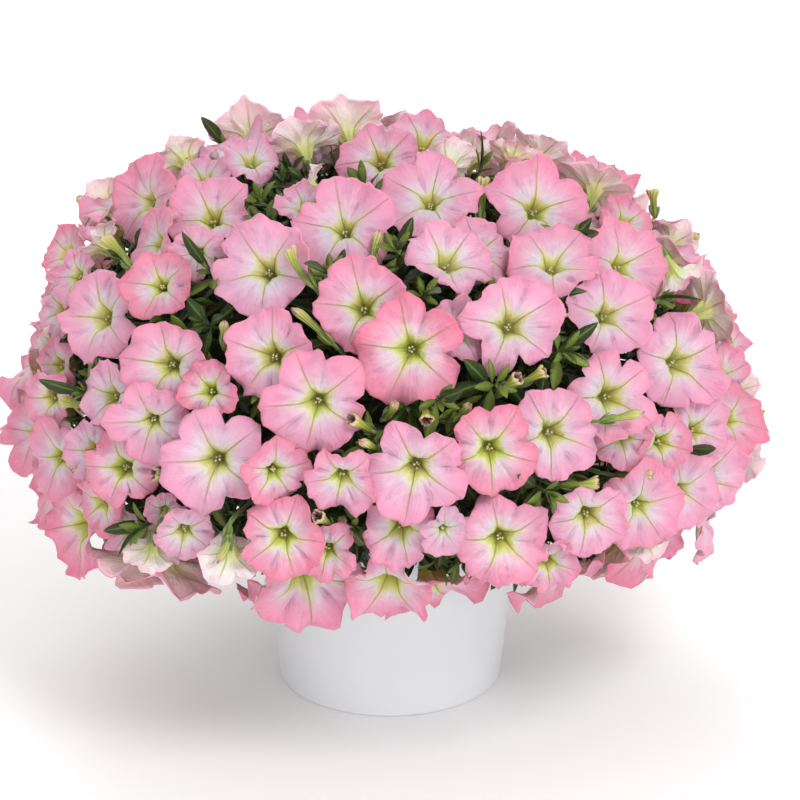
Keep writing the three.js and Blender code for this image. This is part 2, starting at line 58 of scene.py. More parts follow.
# The name of each lamp, its place, its width in metres and its power in watts
LAMPS = [
    ("lamp_key", (1.1, -1.9, 2.4), 1.0, 44),
    ("lamp_fill", (-1.9, -1.4, 1.2), 1.8, 8),
    ("lamp_low", (0.9, -2.5, 0.35), 1.6, 22),
    ("lamp_back", (-0.4, 1.9, 2.0), 1.6, 24),
]


def shader_of(material):
    return material.node_tree.nodes["Principled BSDF"]


def new_material(name, finish):
    """A material whose shader has the finish: a value for each socket named."""
    made = bpy.data.materials.new(name)
    made.use_nodes = True
    for socket, value in finish.items():
        shader_of(made).inputs[socket].default_value = value
    return made


def new_object(name, data, material=None):
    made = bpy.data.objects.new(name, data)
    bpy.context.scene.collection.objects.link(made)
    if material:
        data.materials.append(material)
    return made


def mesh_of(bm, name):
    mesh = bpy.data.meshes.new(name)
    bm.to_mesh(mesh)
    bm.free()
    mesh.shade_smooth()
    return mesh


floor_bm = bmesh.new()
bmesh.ops.create_circle(floor_bm, cap_ends=True, segments=96, radius=9.0)
floor_material = new_material("pale_floor", {"Roughness": 0.85, "Base Color": (0.97, 0.97, 0.97, 1)})
floor = new_object("floor", mesh_of(floor_bm, "floor"), floor_material)

world = bpy.data.worlds.new("white_surround")
bpy.context.scene.world = world
world.use_nodes = True
surround = world.node_tree.nodes["Background"]
surround.inputs["Color"].default_value = (1, 1, 1, 1)
surround.inputs["Strength"].default_value = 0.74

for lamp_name, lamp_place, lamp_width, lamp_power in LAMPS:
    lamp = bpy.data.lights.new(lamp_name, "AREA")
    lamp.size = lamp_width
    lamp.energy = lamp_power
    lamp_object = new_object(lamp_name, lamp)
    lamp_object.location = lamp_place
    aim = SIGHT_TARGET - lamp_object.location
    lamp_object.rotation_euler = aim.to_track_quat("-Z", "Y").to_euler()

sight_forward = Vector((0, math.cos(SIGHT_PITCH), -math.sin(SIGHT_PITCH)))
sight_up = Vector((0, math.sin(SIGHT_PITCH), math.cos(SIGHT_PITCH)))
sight_right = Vector((1, 0, 0))
sight_eye = SIGHT_TARGET - sight_forward * SIGHT_DISTANCE
camera_data = bpy.data.cameras.new("camera")
camera_data.sensor_width = SENSOR_WIDTH
camera_data.lens = SENSOR_WIDTH * FOCAL_PIXELS * CAMERA_REACH / (2 * PICTURE_MIDDLE)
camera = new_object("camera", camera_data)
camera.location = sight_eye + CAMERA_LIFT
camera.rotation_euler = sight_forward.to_track_quat("-Z", "Y").to_euler()
bpy.context.scene.camera = camera
bpy.context.scene.view_settings.view_transform = "Standard"


# Pot
# A plain tapered pot, moulded in pale satin plastic, with a softly rounded foot and rim and
# four drain holes in its floor. It stands on its base and holds the whole plant.
POT_HEIGHT = 140 * MM
POT_BASE_RADIUS = 78.2 * MM
POT_TOP_RADIUS = 91.6 * MM
POT_WALL = 2.6 * MM
POT_FLOOR = 3 * MM
POT_SLOPE = (POT_TOP_RADIUS - POT_BASE_RADIUS) / POT_HEIGHT
FOOT_ROUNDING = 2.2 * MM
FOOT_INSET = 0.93 * FOOT_ROUNDING
RIM_ROUNDING = 1.1 * MM
OUTER_WALL_SHARES = (0.1, 0.3, 0.5, 0.7, 0.9)
INNER_WALL_SHARES = (0.85, 0.45)
DRAIN_RADIUS = 5 * MM
DRAIN_CIRCLE = 48 * MM
DRAIN_HOLES = 4
WELD_REACH = 1e-6
POT_STOPS = [(0.3, (0.71, 0.726, 0.745)), (0.7, (0.735, 0.75, 0.77))]


def feed(material, socket, value):
    if isinstance(value, bpy.types.NodeSocket):
        material.node_tree.links.new(value, socket)
    else:
        socket.default_value = value


def add_node(material, kind, inputs=None, **settings):
    made = material.node_tree.nodes.new(kind)
    for setting, value in settings.items():
        setattr(made, setting, value)
    for socket, value in (inputs or {}).items():
        feed(material, made.inputs[socket], value)
    return made


def ramp(material, share, stops):
    made = add_node(material, "ShaderNodeValToRGB", {"Fac": share})
    elements = made.color_ramp.elements
    for element, (position, colour) in ((elements[0], stops[0]), (elements[1], stops[-1])):
        element.position = position
        element.color = (*colour, 1)
    for position, colour in stops[1:-1]:
        elements.new(position).color = (*colour, 1)
    return made.outputs[0]


def object_noise(material, scale, detail=3.0):
    place = add_node(material, "ShaderNodeTexCoord").outputs["Object"]
    settings = {"Vector": place, "Scale": scale, "Detail": detail}
    return add_node(material, "ShaderNodeTexNoise", settings).outputs["Fac"]


def paint(material, colour):
    feed(material, shader_of(material).inputs["Base Color"], colour)


def add_bump(material, height, distance):
    settings = {"Height": height, "Distance": distance, "Strength": 1.0}
    made = add_node(material, "ShaderNodeBump", settings)
    feed(material, shader_of(material).inputs["Normal"], made.outputs["Normal"])


def turned_profile(bm, profile, steps):
    points = [bm.verts.new((radius, 0, height)) for radius, height in profile]
    edges = [bm.edges.new(pair) for pair in zip(points, points[1:])]
    bmesh.ops.spin(
        bm, geom=points + edges, axis=(0, 0, 1), cent=(0, 0, 0), steps=steps,
        angle=2 * math.pi, use_merge=True)
    bmesh.ops.remove_doubles(bm, verts=bm.verts, dist=WELD_REACH)
    bmesh.ops.recalc_face_normals(bm, faces=bm.faces)


def arc(middle, radius, start, end, steps):
    turns = [math.radians(start + (end - start) * k / steps) for k in range(steps + 1)]
    return [(middle[0] + radius * math.cos(t), middle[1] + radius * math.sin(t)) for t in turns]


def at_turn(radius, angle, height):
    return Vector((radius * math.cos(angle), radius * math.sin(angle), height))


def pot_wall_at(height):
    return POT_BASE_RADIUS + POT_SLOPE * height


outer_heights = [share * POT_HEIGHT for share in OUTER_WALL_SHARES]
inner_heights = [share * POT_HEIGHT for share in INNER_WALL_SHARES] + [POT_FLOOR]
foot_middle = (POT_BASE_RADIUS - FOOT_INSET, FOOT_ROUNDING)
rim_middle = (POT_TOP_RADIUS - POT_WALL / 2, POT_HEIGHT - RIM_ROUNDING)
pot_profile = [
    (0, 0),
    *arc(foot_middle, FOOT_ROUNDING, start=-90, end=-4, steps=6),
    *[(pot_wall_at(height), height) for height in outer_heights],
    *arc(rim_middle, RIM_ROUNDING, start=0, end=180, steps=8),
    *[(pot_wall_at(height) - POT_WALL, height) for height in inner_heights],
    (0, POT_FLOOR),
]
pot_bm = bmesh.new()
turned_profile(pot_bm, pot_profile, steps=144)
pot_blank = new_object("pot_blank", mesh_of(pot_bm, "pot_blank"))

drain_bm = bmesh.new()
for drain in range(DRAIN_HOLES):
    hole = bmesh.ops.create_cone(
        drain_bm, cap_ends=True, segments=24, radius1=DRAIN_RADIUS, radius2=DRAIN_RADIUS,
        depth=POT_FLOOR * 4)
    place = at_turn(DRAIN_CIRCLE, drain * 2 * math.pi / DRAIN_HOLES, 0)
    bmesh.ops.translate(drain_bm, verts=hole["verts"], vec=place)
drain_cutter = new_object("drain_cutter", mesh_of(drain_bm, "drain_cutter"))
drain_cut = pot_blank.modifiers.new("drain_holes", "BOOLEAN")
drain_cut.operation = "DIFFERENCE"
drain_cut.object = drain_cutter
bpy.context.view_layer.update()
pot_cut = pot_blank.evaluated_get(bpy.context.evaluated_depsgraph_get())
pot_mesh = bpy.data.meshes.new_from_object(pot_cut)
pot_mesh.set_sharp_from_angle(angle=math.radians(50))
for spare in (pot_blank, drain_cutter):
    bpy.data.objects.remove(spare)

pot_material = new_material("pale_pot_plastic", {"Roughness": 0.42})
pot_cloud = object_noise(pot_material, scale=9.0, detail=2.0)
paint(pot_material, ramp(pot_material, pot_cloud, POT_STOPS))
add_bump(pot_material, object_noise(pot_material, scale=900.0, detail=2.0), distance=0.02 * MM)
pot = new_object("plant_pot", pot_mesh, pot_material)
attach(pot, "root")
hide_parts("pot")


# Soil
# Dark potting soil, pressed in to just below the rim. Its top is lumpy, with loose crumbs and
# a few white grains of perlite.
SOIL_TOP = 127 * MM
SOIL_GAP = 0.3 * MM
SOIL_RINGS = 16
SOIL_LUMP = 2.2 * MM
LUMPY_SHARE = 0.95
CRUMBS = 260
CRUMBLY_SHARE = 0.94
CRUMB_SIZES = (0.9 * MM, 2.4 * MM)
PERLITE_SHARE = 0.14
PERLITE_WHITE = (0.74, 0.72, 0.66, 1)
SOIL_STOPS = [
    (0.3, (0.012, 0.008, 0.006)), (0.55, (0.045, 0.029, 0.018)), (0.75, (0.11, 0.072, 0.045)),
]


def soil_wall_at(height):
    return pot_wall_at(height) - POT_WALL - SOIL_GAP


soil_top_radius = soil_wall_at(SOIL_TOP)
soil_foot = POT_FLOOR + SOIL_GAP
soil_profile = [(soil_top_radius * k / SOIL_RINGS, SOIL_TOP) for k in range(SOIL_RINGS + 1)]
soil_profile += [(soil_wall_at(soil_foot), soil_foot), (0, soil_foot)]
soil_bm = bmesh.new()
turned_profile(soil_bm, soil_profile, steps=72)
for vert in soil_bm.verts:
    if vert.co.z > SOIL_TOP - MM and vert.co.xy.length < LUMPY_SHARE * soil_top_radius:
        vert.co.z += SOIL_LUMP * (noise.noise(vert.co * 90) + 0.6 * noise.noise(vert.co * 260))
perlite_layer = soil_bm.verts.layers.float.new("perlite")
draw = random.Random(3)
for _ in range(CRUMBS):
    turn = draw.uniform(0, 2 * math.pi)
    away = CRUMBLY_SHARE * soil_top_radius * math.sqrt(draw.random())
    size = draw.uniform(*CRUMB_SIZES)
    whiteness = 1.0 if draw.random() < PERLITE_SHARE else 0.0
    place = at_turn(away, turn, SOIL_TOP + 0.3 * size)
    for vert in bmesh.ops.create_icosphere(soil_bm, subdivisions=1, radius=size)["verts"]:
        vert.co = place + vert.co * (1 + 0.5 * noise.noise(vert.co * 900 + place * 50))
        vert[perlite_layer] = whiteness


def attribute(material, name):
    return add_node(material, "ShaderNodeAttribute", attribute_name=name).outputs["Fac"]


def blend_colour(material, share, first, second):
    made = add_node(material, "ShaderNodeMix", {0: share, 6: first, 7: second}, data_type="RGBA")
    return made.outputs[2]


soil_material = new_material("potting_soil", {"Roughness": 0.95})
soil_grain = object_noise(soil_material, scale=260.0, detail=6.0)
paint(soil_material, blend_colour(
    soil_material, attribute(soil_material, "perlite"),
    ramp(soil_material, soil_grain, SOIL_STOPS), PERLITE_WHITE))
add_bump(soil_material, soil_grain, distance=1.5 * MM)
soil = new_object("potting_soil", mesh_of(soil_bm, "potting_soil"), soil_material)
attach(soil, "root")
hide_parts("soil")


# Blooms
# Each is five petals grown into one trumpet: a broad limb with a waved rim and five shallow
# notches, a pentagonal throat and a slim tube. They are found in the frame's sprays, where
# the bottom of each throat has a regular ring of five corners round it.
PETALS = 5
THROAT_RING_SHARE = 0.22
THROAT_RING_DEPTH = 0.20
THROAT_DEPTH = 0.62
RING_TOLERANCE = 0.02
PLAIN_RING_EDGES = 6
WAVE_PER_MM = 0.11
NOTCH_WAVE = 0.04
LOBE_WAVE = 0.06
LOBE_STEP = 1.3
# A limb has its sizes as shares of the bloom's radius: first the rows of its face and of its
# underside, as distances from the middle and heights, and then what each petal may draw
TUBE_LENGTH = 1.12
PETAL_THICKNESS = 0.017
FACE_PROFILE = [
    (0.0, -0.68), (0.08, -0.66), (0.135, -0.52), (0.175, -0.41), (0.22, -0.31), (0.27, -0.235),
    (0.34, -0.175), (0.46, -0.125), (0.62, -0.077), (0.76, -0.040), (0.88, -0.013), (0.95, 0.0),
    (1.0, 0.004),
]
UNDER_SHARES = [1.0, 0.95, 0.88, 0.76, 0.62, 0.46, 0.34]
TUBE_PROFILE = [
    (0.285, -0.265), (0.24, -0.34), (0.195, -0.46), (0.14, -0.66), (0.095, -0.92),
    (0.07, -TUBE_LENGTH), (0.0, -TUBE_LENGTH),
]
BLOOM_COLUMNS = 60
CUPS = (-0.03, 0.05)
NOTCHES = (0.05, 0.3)
NOTCH_POWERS = (1.6, 4.6)
CREASES = (0.02, 0.19)
CREASE_WIDTH = 0.15
LOBES = (-0.09, 0.07)
ROLLS = (-0.30, 0.06)
TILTS = (-0.16, 0.16)
SKEWS = (-0.12, 0.12)
POINT_REACH = 0.055
POINT_WIDTH = 0.2
GROOVE_DEPTH = 0.03
GROOVE_WIDTH = 0.12
CORNER_REACH = 0.16
CORNER_PLACE = 0.2
CORNER_WIDTH = 0.09
THROAT_EDGE = 0.25
# Waves round a limb, as cycles and heights, and puckers all over it, as fineness and heights
PLEATS = [(2, 0.050), (3, 0.048), (4, 0.040), (6, 0.030)]
RIPPLES = [(7, 0.042), (10, 0.042), (14, 0.032), (19, 0.022)]
FRILLS = [(1, 0.030), (2, 0.035), (6, 0.018), (9, 0.020), (13, 0.018), (19, 0.014)]
PUCKERS = [(2.4, 0.14), (5.5, 0.075)]
# How blooms share the room between them: shares of their growth and liveliness
DRAWS = 8
FIRST_ROOM = (0.92, 0.3)
ROOMS = [(0.95, 1.0), (0.92, 1.0), (0.92, 0.6)]
GROWTHS = [1.0, 1.04, 1.08, 1.13, 1.18, 1.24, 1.30]
BROADEST_LIMB = 35 * MM
DOWNWARD = -0.25
DOWNWARD_GROWTH = 1.04
NEIGHBOUR_REACH = 1.4
ROOM_COLUMNS = 30
ROOM_TUBE = [(0.07, -TUBE_LENGTH), (0.14, -0.66), (0.23, -0.33)]
ROOM_SHARES = [0.32, 0.50, 0.68, 0.85, 1.0]


def side_of(axis):
    helper = Vector((0, 0, 1)) if abs(axis.z) < 0.9 else Vector((1, 0, 0))
    return helper.cross(axis).normalized()


def spoke(side, cross, angle):
    return side * math.cos(angle) + cross * math.sin(angle)


def merged_copy(node_name):
    bm = bmesh.new()
    bm.from_mesh(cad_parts[node_name].data)
    bmesh.ops.remove_doubles(bm, verts=bm.verts, dist=2 * WELD_REACH)
    return bm


def face_rise(radius):
    for (inner, low), (outer, high) in zip(FACE_PROFILE, FACE_PROFILE[1:]):
        if radius <= outer:
            return low + (high - low) * (radius - inner) / (outer - inner)
    return FACE_PROFILE[-1][1]


def wave_at(waves, around):
    return sum(height * math.sin(2 * math.pi * cycles * around + start)
               for cycles, height, start in waves)


class Bloom:
    """One bloom as the frame gives it: its middle, facing, radius and the wave of its rim."""

    def __init__(self, throat, ring):
        centre = sum((corner.co for corner in ring), Vector()) / PETALS
        self.facing = (centre - throat.co).normalized()
        arm = sum((corner.co - centre).length for corner in ring) / PETALS
        self.radius = arm / THROAT_RING_SHARE
        self.middle = throat.co + self.facing * THROAT_DEPTH * self.radius
        self.side = side_of(self.facing)
        self.cross = self.facing.cross(self.side)
        phase = WAVE_PER_MM * sum(throat.co) / MM
        self.turn = 3 * phase
        # The frame's finer limbs have three rim corners to a petal, the plain ones two
        most_edges = max(len(corner.link_edges) for corner in ring)
        corners = 3 if most_edges > PLAIN_RING_EDGES else 2
        self.waves = [
            NOTCH_WAVE * (1 + math.cos(phase + k)) if k % corners == 0
            else LOBE_WAVE * math.sin(phase + LOBE_STEP * k)
            for k in range(PETALS * corners)]
        self.seed = round(100 * phase)
        self.take_shape(0)

    def take_shape(self, attempt):
        """Draws the petals' own forms, others at each attempt."""
        self.growth, self.liveliness = FIRST_ROOM
        self.draw = random.Random(self.seed + 1000 * attempt)
        self.tint = self.draw.random()
        self.cup = self.draw.uniform(*CUPS)
        least, more = NOTCHES
        self.notches = [least + more * share ** 1.5 for share in self.five_of(0, 1)]
        self.notch_powers = self.five_of(*NOTCH_POWERS)
        self.creases = self.five_of(*CREASES)
        self.pucker_place = Vector(self.five_of(0, 90)[:3])
        self.lobes = self.five_of(*LOBES)
        self.rolls = self.five_of(*ROLLS)
        self.tilts = self.five_of(*TILTS)
        self.skews = self.five_of(*SKEWS)
        self.pleats = self.waves_of(PLEATS)
        self.ripples = self.waves_of(RIPPLES)
        self.frills = self.waves_of(FRILLS)

    def five_of(self, low, high):
        return [self.draw.uniform(low, high) for _ in range(PETALS)]

    def waves_of(self, cycles_and_heights):
        return [(cycles, height, self.draw.uniform(0, 2 * math.pi))
                for cycles, height in cycles_and_heights]

    def tube_end(self):
        return self.middle - self.facing * TUBE_LENGTH * self.radius

    def rim_wave(self, around):
        place = around * len(self.waves)
        step = math.floor(place)
        share = place - step
        share = share * share * (3 - 2 * share)
        here = self.waves[step % len(self.waves)]
        there = self.waves[(step + 1) % len(self.waves)]
        return here + (there - here) * share

    def column(self, around):
        """What a column of the limb needs: its arm, and how far it bends, waves and reaches."""
        arm = spoke(self.side, self.cross, self.turn + 2 * math.pi * around)
        petal = math.floor(around * PETALS) % PETALS
        across = 2 * (around * PETALS % 1) - 1
        from_vein = abs(across)
        nearer = petal if across < 0 else (petal + 1) % PETALS
        bend = wave_at(self.pleats, around) + self.tilts[petal] * math.sin(math.pi * across)
        bend += self.rolls[petal] * (1 - across ** 2)
        point = POINT_REACH * max(0.0, 1 - from_vein / POINT_WIDTH)
        notch = self.notches[nearer] * from_vein ** self.notch_powers[nearer]
        lobe = self.lobes[petal] * (1 - across ** 2) + self.skews[petal] * across * (1 - from_vein)
        outline = lobe + point - notch + wave_at(self.frills, around)
        groove = GROOVE_DEPTH * math.exp(-(from_vein / GROOVE_WIDTH) ** 2)
        crease = self.creases[nearer] * math.exp(-((1 - from_vein) / CREASE_WIDTH) ** 2)
        base_bend = self.rim_wave(around) + self.cup
        corner = CORNER_REACH * math.cos(math.pi * across)
        return arm, base_bend, bend, wave_at(self.ripples, around), outline, groove, crease, corner

    def pucker_at(self, arm, radius):
        place = self.pucker_place + arm * radius
        return sum(height * noise.noise(place * fineness) for fineness, height in PUCKERS)

    def surface(self, column, radius, rise):
        arm, base_bend, bend, ripple, outline, groove, crease, corner = column
        spread = min(max((radius - THROAT_EDGE) / (1 - THROAT_EDGE), 0.0), 1.0)
        rise += base_bend * spread ** 2
        rise += self.liveliness * (
            bend * spread ** 2.2 + ripple * spread ** 3 + self.pucker_at(arm, radius) * spread)
        rise -= groove * spread * (1.5 - spread) + crease * math.sin(math.pi * spread)
        reach = radius * (1 + outline * spread ** 1.6) * (1 + (self.growth - 1) * spread)
        reach *= 1 + corner * math.exp(-((radius - CORNER_PLACE) / CORNER_WIDTH) ** 2)
        return self.middle + (arm * reach + self.facing * rise) * self.radius


def find_blooms(node_name):
    depth_share = (THROAT_DEPTH - THROAT_RING_DEPTH) / THROAT_RING_SHARE
    found = []
    bm = merged_copy(node_name)
    for vert in bm.verts:
        ring = [edge.other_vert(vert) for edge in vert.link_edges]
        if len(ring) != PETALS:
            continue
        centre = sum((corner.co for corner in ring), Vector()) / PETALS
        arms = [(corner.co - centre).length for corner in ring]
        depth = (centre - vert.co).length / arms[0]
        is_regular = max(arms) < (1 + RING_TOLERANCE) * min(arms)
        if is_regular and abs(depth / depth_share - 1) < RING_TOLERANCE:
            found.append(Bloom(vert, ring))
    bm.free()
    return found


def wrap(bm, columns, rows, place):
    """A sleeve: a grid rolled up and shaped by place(column, row), still open at its seam."""
    grid = bmesh.ops.create_grid(bm, x_segments=columns, y_segments=rows, size=1.0, calc_uvs=True)
    for vert in grid["verts"]:
        column = round((vert.co.x + 1) / 2 * columns)
        row = round((vert.co.y + 1) / 2 * rows)
        vert.co = place(column % columns, row)


def close_up(bm):
    bmesh.ops.remove_doubles(bm, verts=bm.verts, dist=WELD_REACH)
    bmesh.ops.dissolve_degenerate(bm, edges=bm.edges, dist=WELD_REACH / 10)
    bmesh.ops.recalc_face_normals(bm, faces=bm.faces)


class Gathering:
    """Small closed shapes gathered into one mesh, each with its own tint."""

    def __init__(self):
        self.bm = bmesh.new()
        self.spare = bpy.data.meshes.new("spare")

    def add(self, tint, build, *details, **more):
        """Adds the shape that build makes in an empty bmesh from these details."""
        bm = bmesh.new()
        bm.loops.layers.uv.new("UVMap")
        tint_layer = bm.verts.layers.float.new("tint")
        build(bm, *details, **more)
        close_up(bm)
        for vert in bm.verts:
            vert[tint_layer] = tint
        bm.to_mesh(self.spare)
        bm.free()
        self.bm.from_mesh(self.spare)

    def piece(self, name, material, slot, *replaced):
        made = new_object(name, mesh_of(self.bm, name), material)
        bpy.data.meshes.remove(self.spare)
        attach(made, "root")
        if replaced:
            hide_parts(*replaced)
        return made


# The rows of a bloom, each with its place in the colours: 0 to 1 on the face, 1 to 2 below
bloom_rows = [(radius, rise, radius) for radius, rise in FACE_PROFILE]
bloom_rows += [(radius, face_rise(radius) - PETAL_THICKNESS, 2 - radius) for radius in UNDER_SHARES]
bloom_rows += [(radius, rise, 2 - radius) for radius, rise in TUBE_PROFILE]
last_row = len(bloom_rows) - 1


def build_bloom(bm, bloom):
    columns = [bloom.column(k / BLOOM_COLUMNS) for k in range(BLOOM_COLUMNS)]
    wrap(bm, BLOOM_COLUMNS, last_row,
         lambda column, row: bloom.surface(columns[column], *bloom_rows[row][:2]))
    uv_layer = bm.loops.layers.uv.active
    for face in bm.faces:
        for loop in face.loops:
            across, along = loop[uv_layer].uv
            loop[uv_layer].uv = (across * PETALS, bloom_rows[round(along * last_row)][2])
    bmesh.ops.triangulate(bm, faces=bm.faces, quad_method="SHORT_EDGE")


# Petal colours run from the deep throat (0) out to the rim (1) on the face, and from the rim
# (0) back to the foot of the tube (1) on the underside.
FACE_STOPS = [
    (0.04, (0.26, 0.24, 0.04)), (0.11, (0.46, 0.47, 0.07)), (0.17, (0.56, 0.61, 0.11)),
    (0.21, (0.60, 0.65, 0.17)), (0.255, (0.66, 0.66, 0.34)), (0.305, (0.71, 0.59, 0.54)),
    (0.39, (0.72, 0.44, 0.51)), (0.52, (0.72, 0.36, 0.46)), (0.68, (0.72, 0.31, 0.41)),
    (0.85, (0.72, 0.272, 0.375)), (1.0, (0.69, 0.215, 0.305)),
]
UNDER_STOPS = [
    (0.0, (0.88, 0.52, 0.57)), (0.25, (0.90, 0.67, 0.65)), (0.52, (0.89, 0.79, 0.63)),
    (0.68, (0.80, 0.79, 0.43)), (0.80, (0.60, 0.66, 0.20)), (1.0, (0.34, 0.41, 0.08)),
]
VEIN_STOPS = [(0.3, (0.40, 0.34, 0.09)), (0.9, (0.56, 0.27, 0.23))]
RIB_GREEN = (0.40, 0.45, 0.12, 1)
HALO_GREEN = (0.62, 0.63, 0.19, 1)
PALE_LILAC = (0.72, 0.61, 0.67, 1)
DEEP_ROSE = (0.70, 0.15, 0.29, 1)
# A darker mauve: painted shade in the creases between the petals, and the own colour of the fine
# veins
SHADE_AND_VEIN_MAUVE = (0.65, 0.25, 0.42, 1)


def uv_axes(material):
    place = add_node(material, "ShaderNodeUVMap", uv_map="UVMap").outputs["UV"]
    axes = add_node(material, "ShaderNodeSeparateXYZ", {"Vector": place}).outputs
    return axes["X"], axes["Y"]


def calc(material, operation, *values):
    made = add_node(material, "ShaderNodeMath", dict(enumerate(values)), operation=operation)
    return made.outputs[0]


def product(material, *values):
    return reduce(partial(calc, material, "MULTIPLY"), values)


def fade(material, value, start, end):
    """A smooth step from 0, where the value is start, to 1, where it is end."""
    made = add_node(
        material, "ShaderNodeMapRange", {"Value": value, "From Min": start, "From Max": end},
        interpolation_type="SMOOTHSTEP")
    return made.outputs[0]


def unsettled(material, value, pattern, amount):
    """The value, moved up and down by a pattern that runs from 0 to 1."""
    return calc(material, "MULTIPLY_ADD", calc(material, "SUBTRACT", pattern, 0.5), amount, value)


def from_middle(material, value):
    """How far the value is from the middle of the whole step that it is in."""
    share = calc(material, "FRACT", value)
    return calc(material, "ABSOLUTE", calc(material, "SUBTRACT", share, 0.5))


petal_material = new_material("petunia_petal", {
    "Roughness": 0.5, "Sheen Weight": 0.15, "Specular IOR Level": 0.25,
    "Subsurface Weight": 0.45, "Subsurface Scale": 4 * MM, "Subsurface Radius": (1.0, 0.35, 0.4)})
on_petal = partial(calc, petal_material)
petal_product = partial(product, petal_material)
petal_fade = partial(fade, petal_material)
petal_blend = partial(blend_colour, petal_material)
petal_tint = attribute(petal_material, "tint")
around, outward = uv_axes(petal_material)
is_under = on_petal("GREATER_THAN", outward, 1.0)
share_out = on_petal("SUBTRACT", 1.0, on_petal("ABSOLUTE", on_petal("SUBTRACT", outward, 1.0)))
from_vein = from_middle(petal_material, around)
vein_distance = on_petal("MULTIPLY", from_vein, share_out)
notch_distance = on_petal("MULTIPLY", on_petal("SUBTRACT", 0.5, from_vein), share_out)
outward_fade = partial(petal_fade, share_out)
vein_fade = partial(petal_fade, vein_distance)


def petal_noise(across, along, shift, scale, detail, roughness=0.5):
    """Noise drawn out along the petals, another on each bloom."""
    place = add_node(petal_material, "ShaderNodeCombineXYZ", {
        "X": on_petal("MULTIPLY", around, across),
        "Y": on_petal("MULTIPLY", outward, along),
        "Z": on_petal("MULTIPLY", petal_tint, shift)}).outputs[0]
    settings = {"Vector": place, "Scale": scale, "Detail": detail, "Roughness": roughness}
    return add_node(petal_material, "ShaderNodeTexNoise", settings).outputs["Fac"]


streaks = petal_noise(across=6.5, along=2.0, shift=37.0, scale=1.3, detail=4.0, roughness=0.6)
fine_veins = petal_noise(across=24.0, along=3.0, shift=53.0, scale=1.4, detail=2.0)
patches = petal_noise(across=1.3, along=1.2, shift=91.0, scale=1.0, detail=2.0)
blotches = object_noise(petal_material, scale=34.0, detail=2.0)
mottle = petal_fade(object_noise(petal_material, scale=110.0), 0.50, 0.72)
# Painted shade: a darker mauve in the creases by the notches between the petals, broken up by
# streaks and patches
crease_shade_share = petal_product(
    petal_fade(notch_distance, 0.11, 0.0), petal_fade(streaks, 0.42, 0.6),
    petal_fade(patches, 0.62, 0.42), outward_fade(0.42, 0.6), outward_fade(0.95, 0.7))
vein_share = petal_product(vein_fade(0.015, 0.004), outward_fade(1.3, 0.5))
# The marks on the face, one over the other, each with its strength and colour
# The mauve in the creases by the notches is painted shade; on the fine veins it is their own colour
marks = [
    (petal_product(
        on_petal("MULTIPLY_ADD", petal_fade(streaks, 0.36, 0.64), 0.55, 0.25),
        petal_fade(patches, 0.40, 0.62), outward_fade(0.27, 0.33), outward_fade(0.80, 0.38)),
     1.0, PALE_LILAC),
    (crease_shade_share, 0.5, SHADE_AND_VEIN_MAUVE),
    (petal_product(vein_fade(0.11, 0.01), outward_fade(0.68, 0.24), outward_fade(0.18, 0.24)),
     0.7, HALO_GREEN),
    (petal_product(petal_fade(fine_veins, 0.54, 0.70), outward_fade(0.95, 0.35)),
     0.34, SHADE_AND_VEIN_MAUVE),
    (on_petal("MAXIMUM", petal_product(petal_fade(streaks, 0.50, 0.28), outward_fade(0.4, 1.0)),
              petal_product(mottle, outward_fade(0.3, 0.6))),
     0.35, DEEP_ROSE),
    (vein_share, 0.75, ramp(petal_material, share_out, VEIN_STOPS)),
]
face_place = unsettled(petal_material, share_out, streaks, 0.10)
face_colour = ramp(petal_material, face_place, FACE_STOPS)
for mark, strength, colour in marks:
    face_colour = petal_blend(on_petal("MULTIPLY", mark, strength), face_colour, colour)
under_place = unsettled(petal_material, on_petal("SUBTRACT", 1.0, share_out), streaks, 0.25)
under_colour = ramp(petal_material, under_place, UNDER_STOPS)
rib_share = petal_product(vein_fade(0.035, 0.008), outward_fade(1.0, 0.45), 0.7)
under_colour = petal_blend(rib_share, under_colour, RIB_GREEN)
petal_colour = petal_blend(is_under, face_colour, under_colour)
paint(petal_material, add_node(petal_material, "ShaderNodeHueSaturation", {
    "Hue": on_petal("MULTIPLY_ADD", petal_tint, 0.022, 0.486),
    "Saturation": on_petal("MULTIPLY_ADD", petal_tint, 0.22, 0.89),
    "Value": on_petal("MULTIPLY_ADD", blotches, 0.14, 0.93), "Color": petal_colour}).outputs[0])
petal_height = streaks
for mark, height in [(vein_share, -0.5), (crease_shade_share, -0.8), (fine_veins, 0.35), (mottle, -0.3)]:
    petal_height = on_petal("MULTIPLY_ADD", mark, height, petal_height)
add_bump(petal_material, petal_height, distance=1.4 * MM)

spray_names = sorted(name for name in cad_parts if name.startswith("bloom_spray_"))
sprays = {name: find_blooms(name) for name in spray_names}


def limb_tree(bloom):
    columns = [bloom.column(k / ROOM_COLUMNS) for k in range(ROOM_COLUMNS)]
    rows = ROOM_TUBE + [(share, face_rise(share)) for share in ROOM_SHARES]
    bm = bmesh.new()
    wrap(bm, ROOM_COLUMNS, len(rows) - 1,
         lambda column, row: bloom.surface(columns[column], *rows[row]))
    tree = BVHTree.FromBMesh(bm)
    bm.free()
    return tree


all_blooms = [bloom for blooms in sprays.values() for bloom in blooms]
trees = [limb_tree(bloom) for bloom in all_blooms]
neighbours = [
    [k for k, other in enumerate(all_blooms) if other is not bloom
     and (other.middle - bloom.middle).length < NEIGHBOUR_REACH * (other.radius + bloom.radius)]
    for bloom in all_blooms]
crossed = [
    [k for k in near if trees[number].overlap(trees[k])] for number, near in enumerate(neighbours)]


def fits(number, growth, liveliness):
    """Whether a bloom of this growth and liveliness clears its neighbours. It is kept if so."""
    bloom = all_blooms[number]
    before = bloom.growth, bloom.liveliness
    bloom.growth, bloom.liveliness = growth, liveliness
    tree = limb_tree(bloom)
    if any(tree.overlap(trees[k]) for k in neighbours[number] if k not in crossed[number]):
        bloom.growth, bloom.liveliness = before
        return False
    trees[number] = tree
    return True


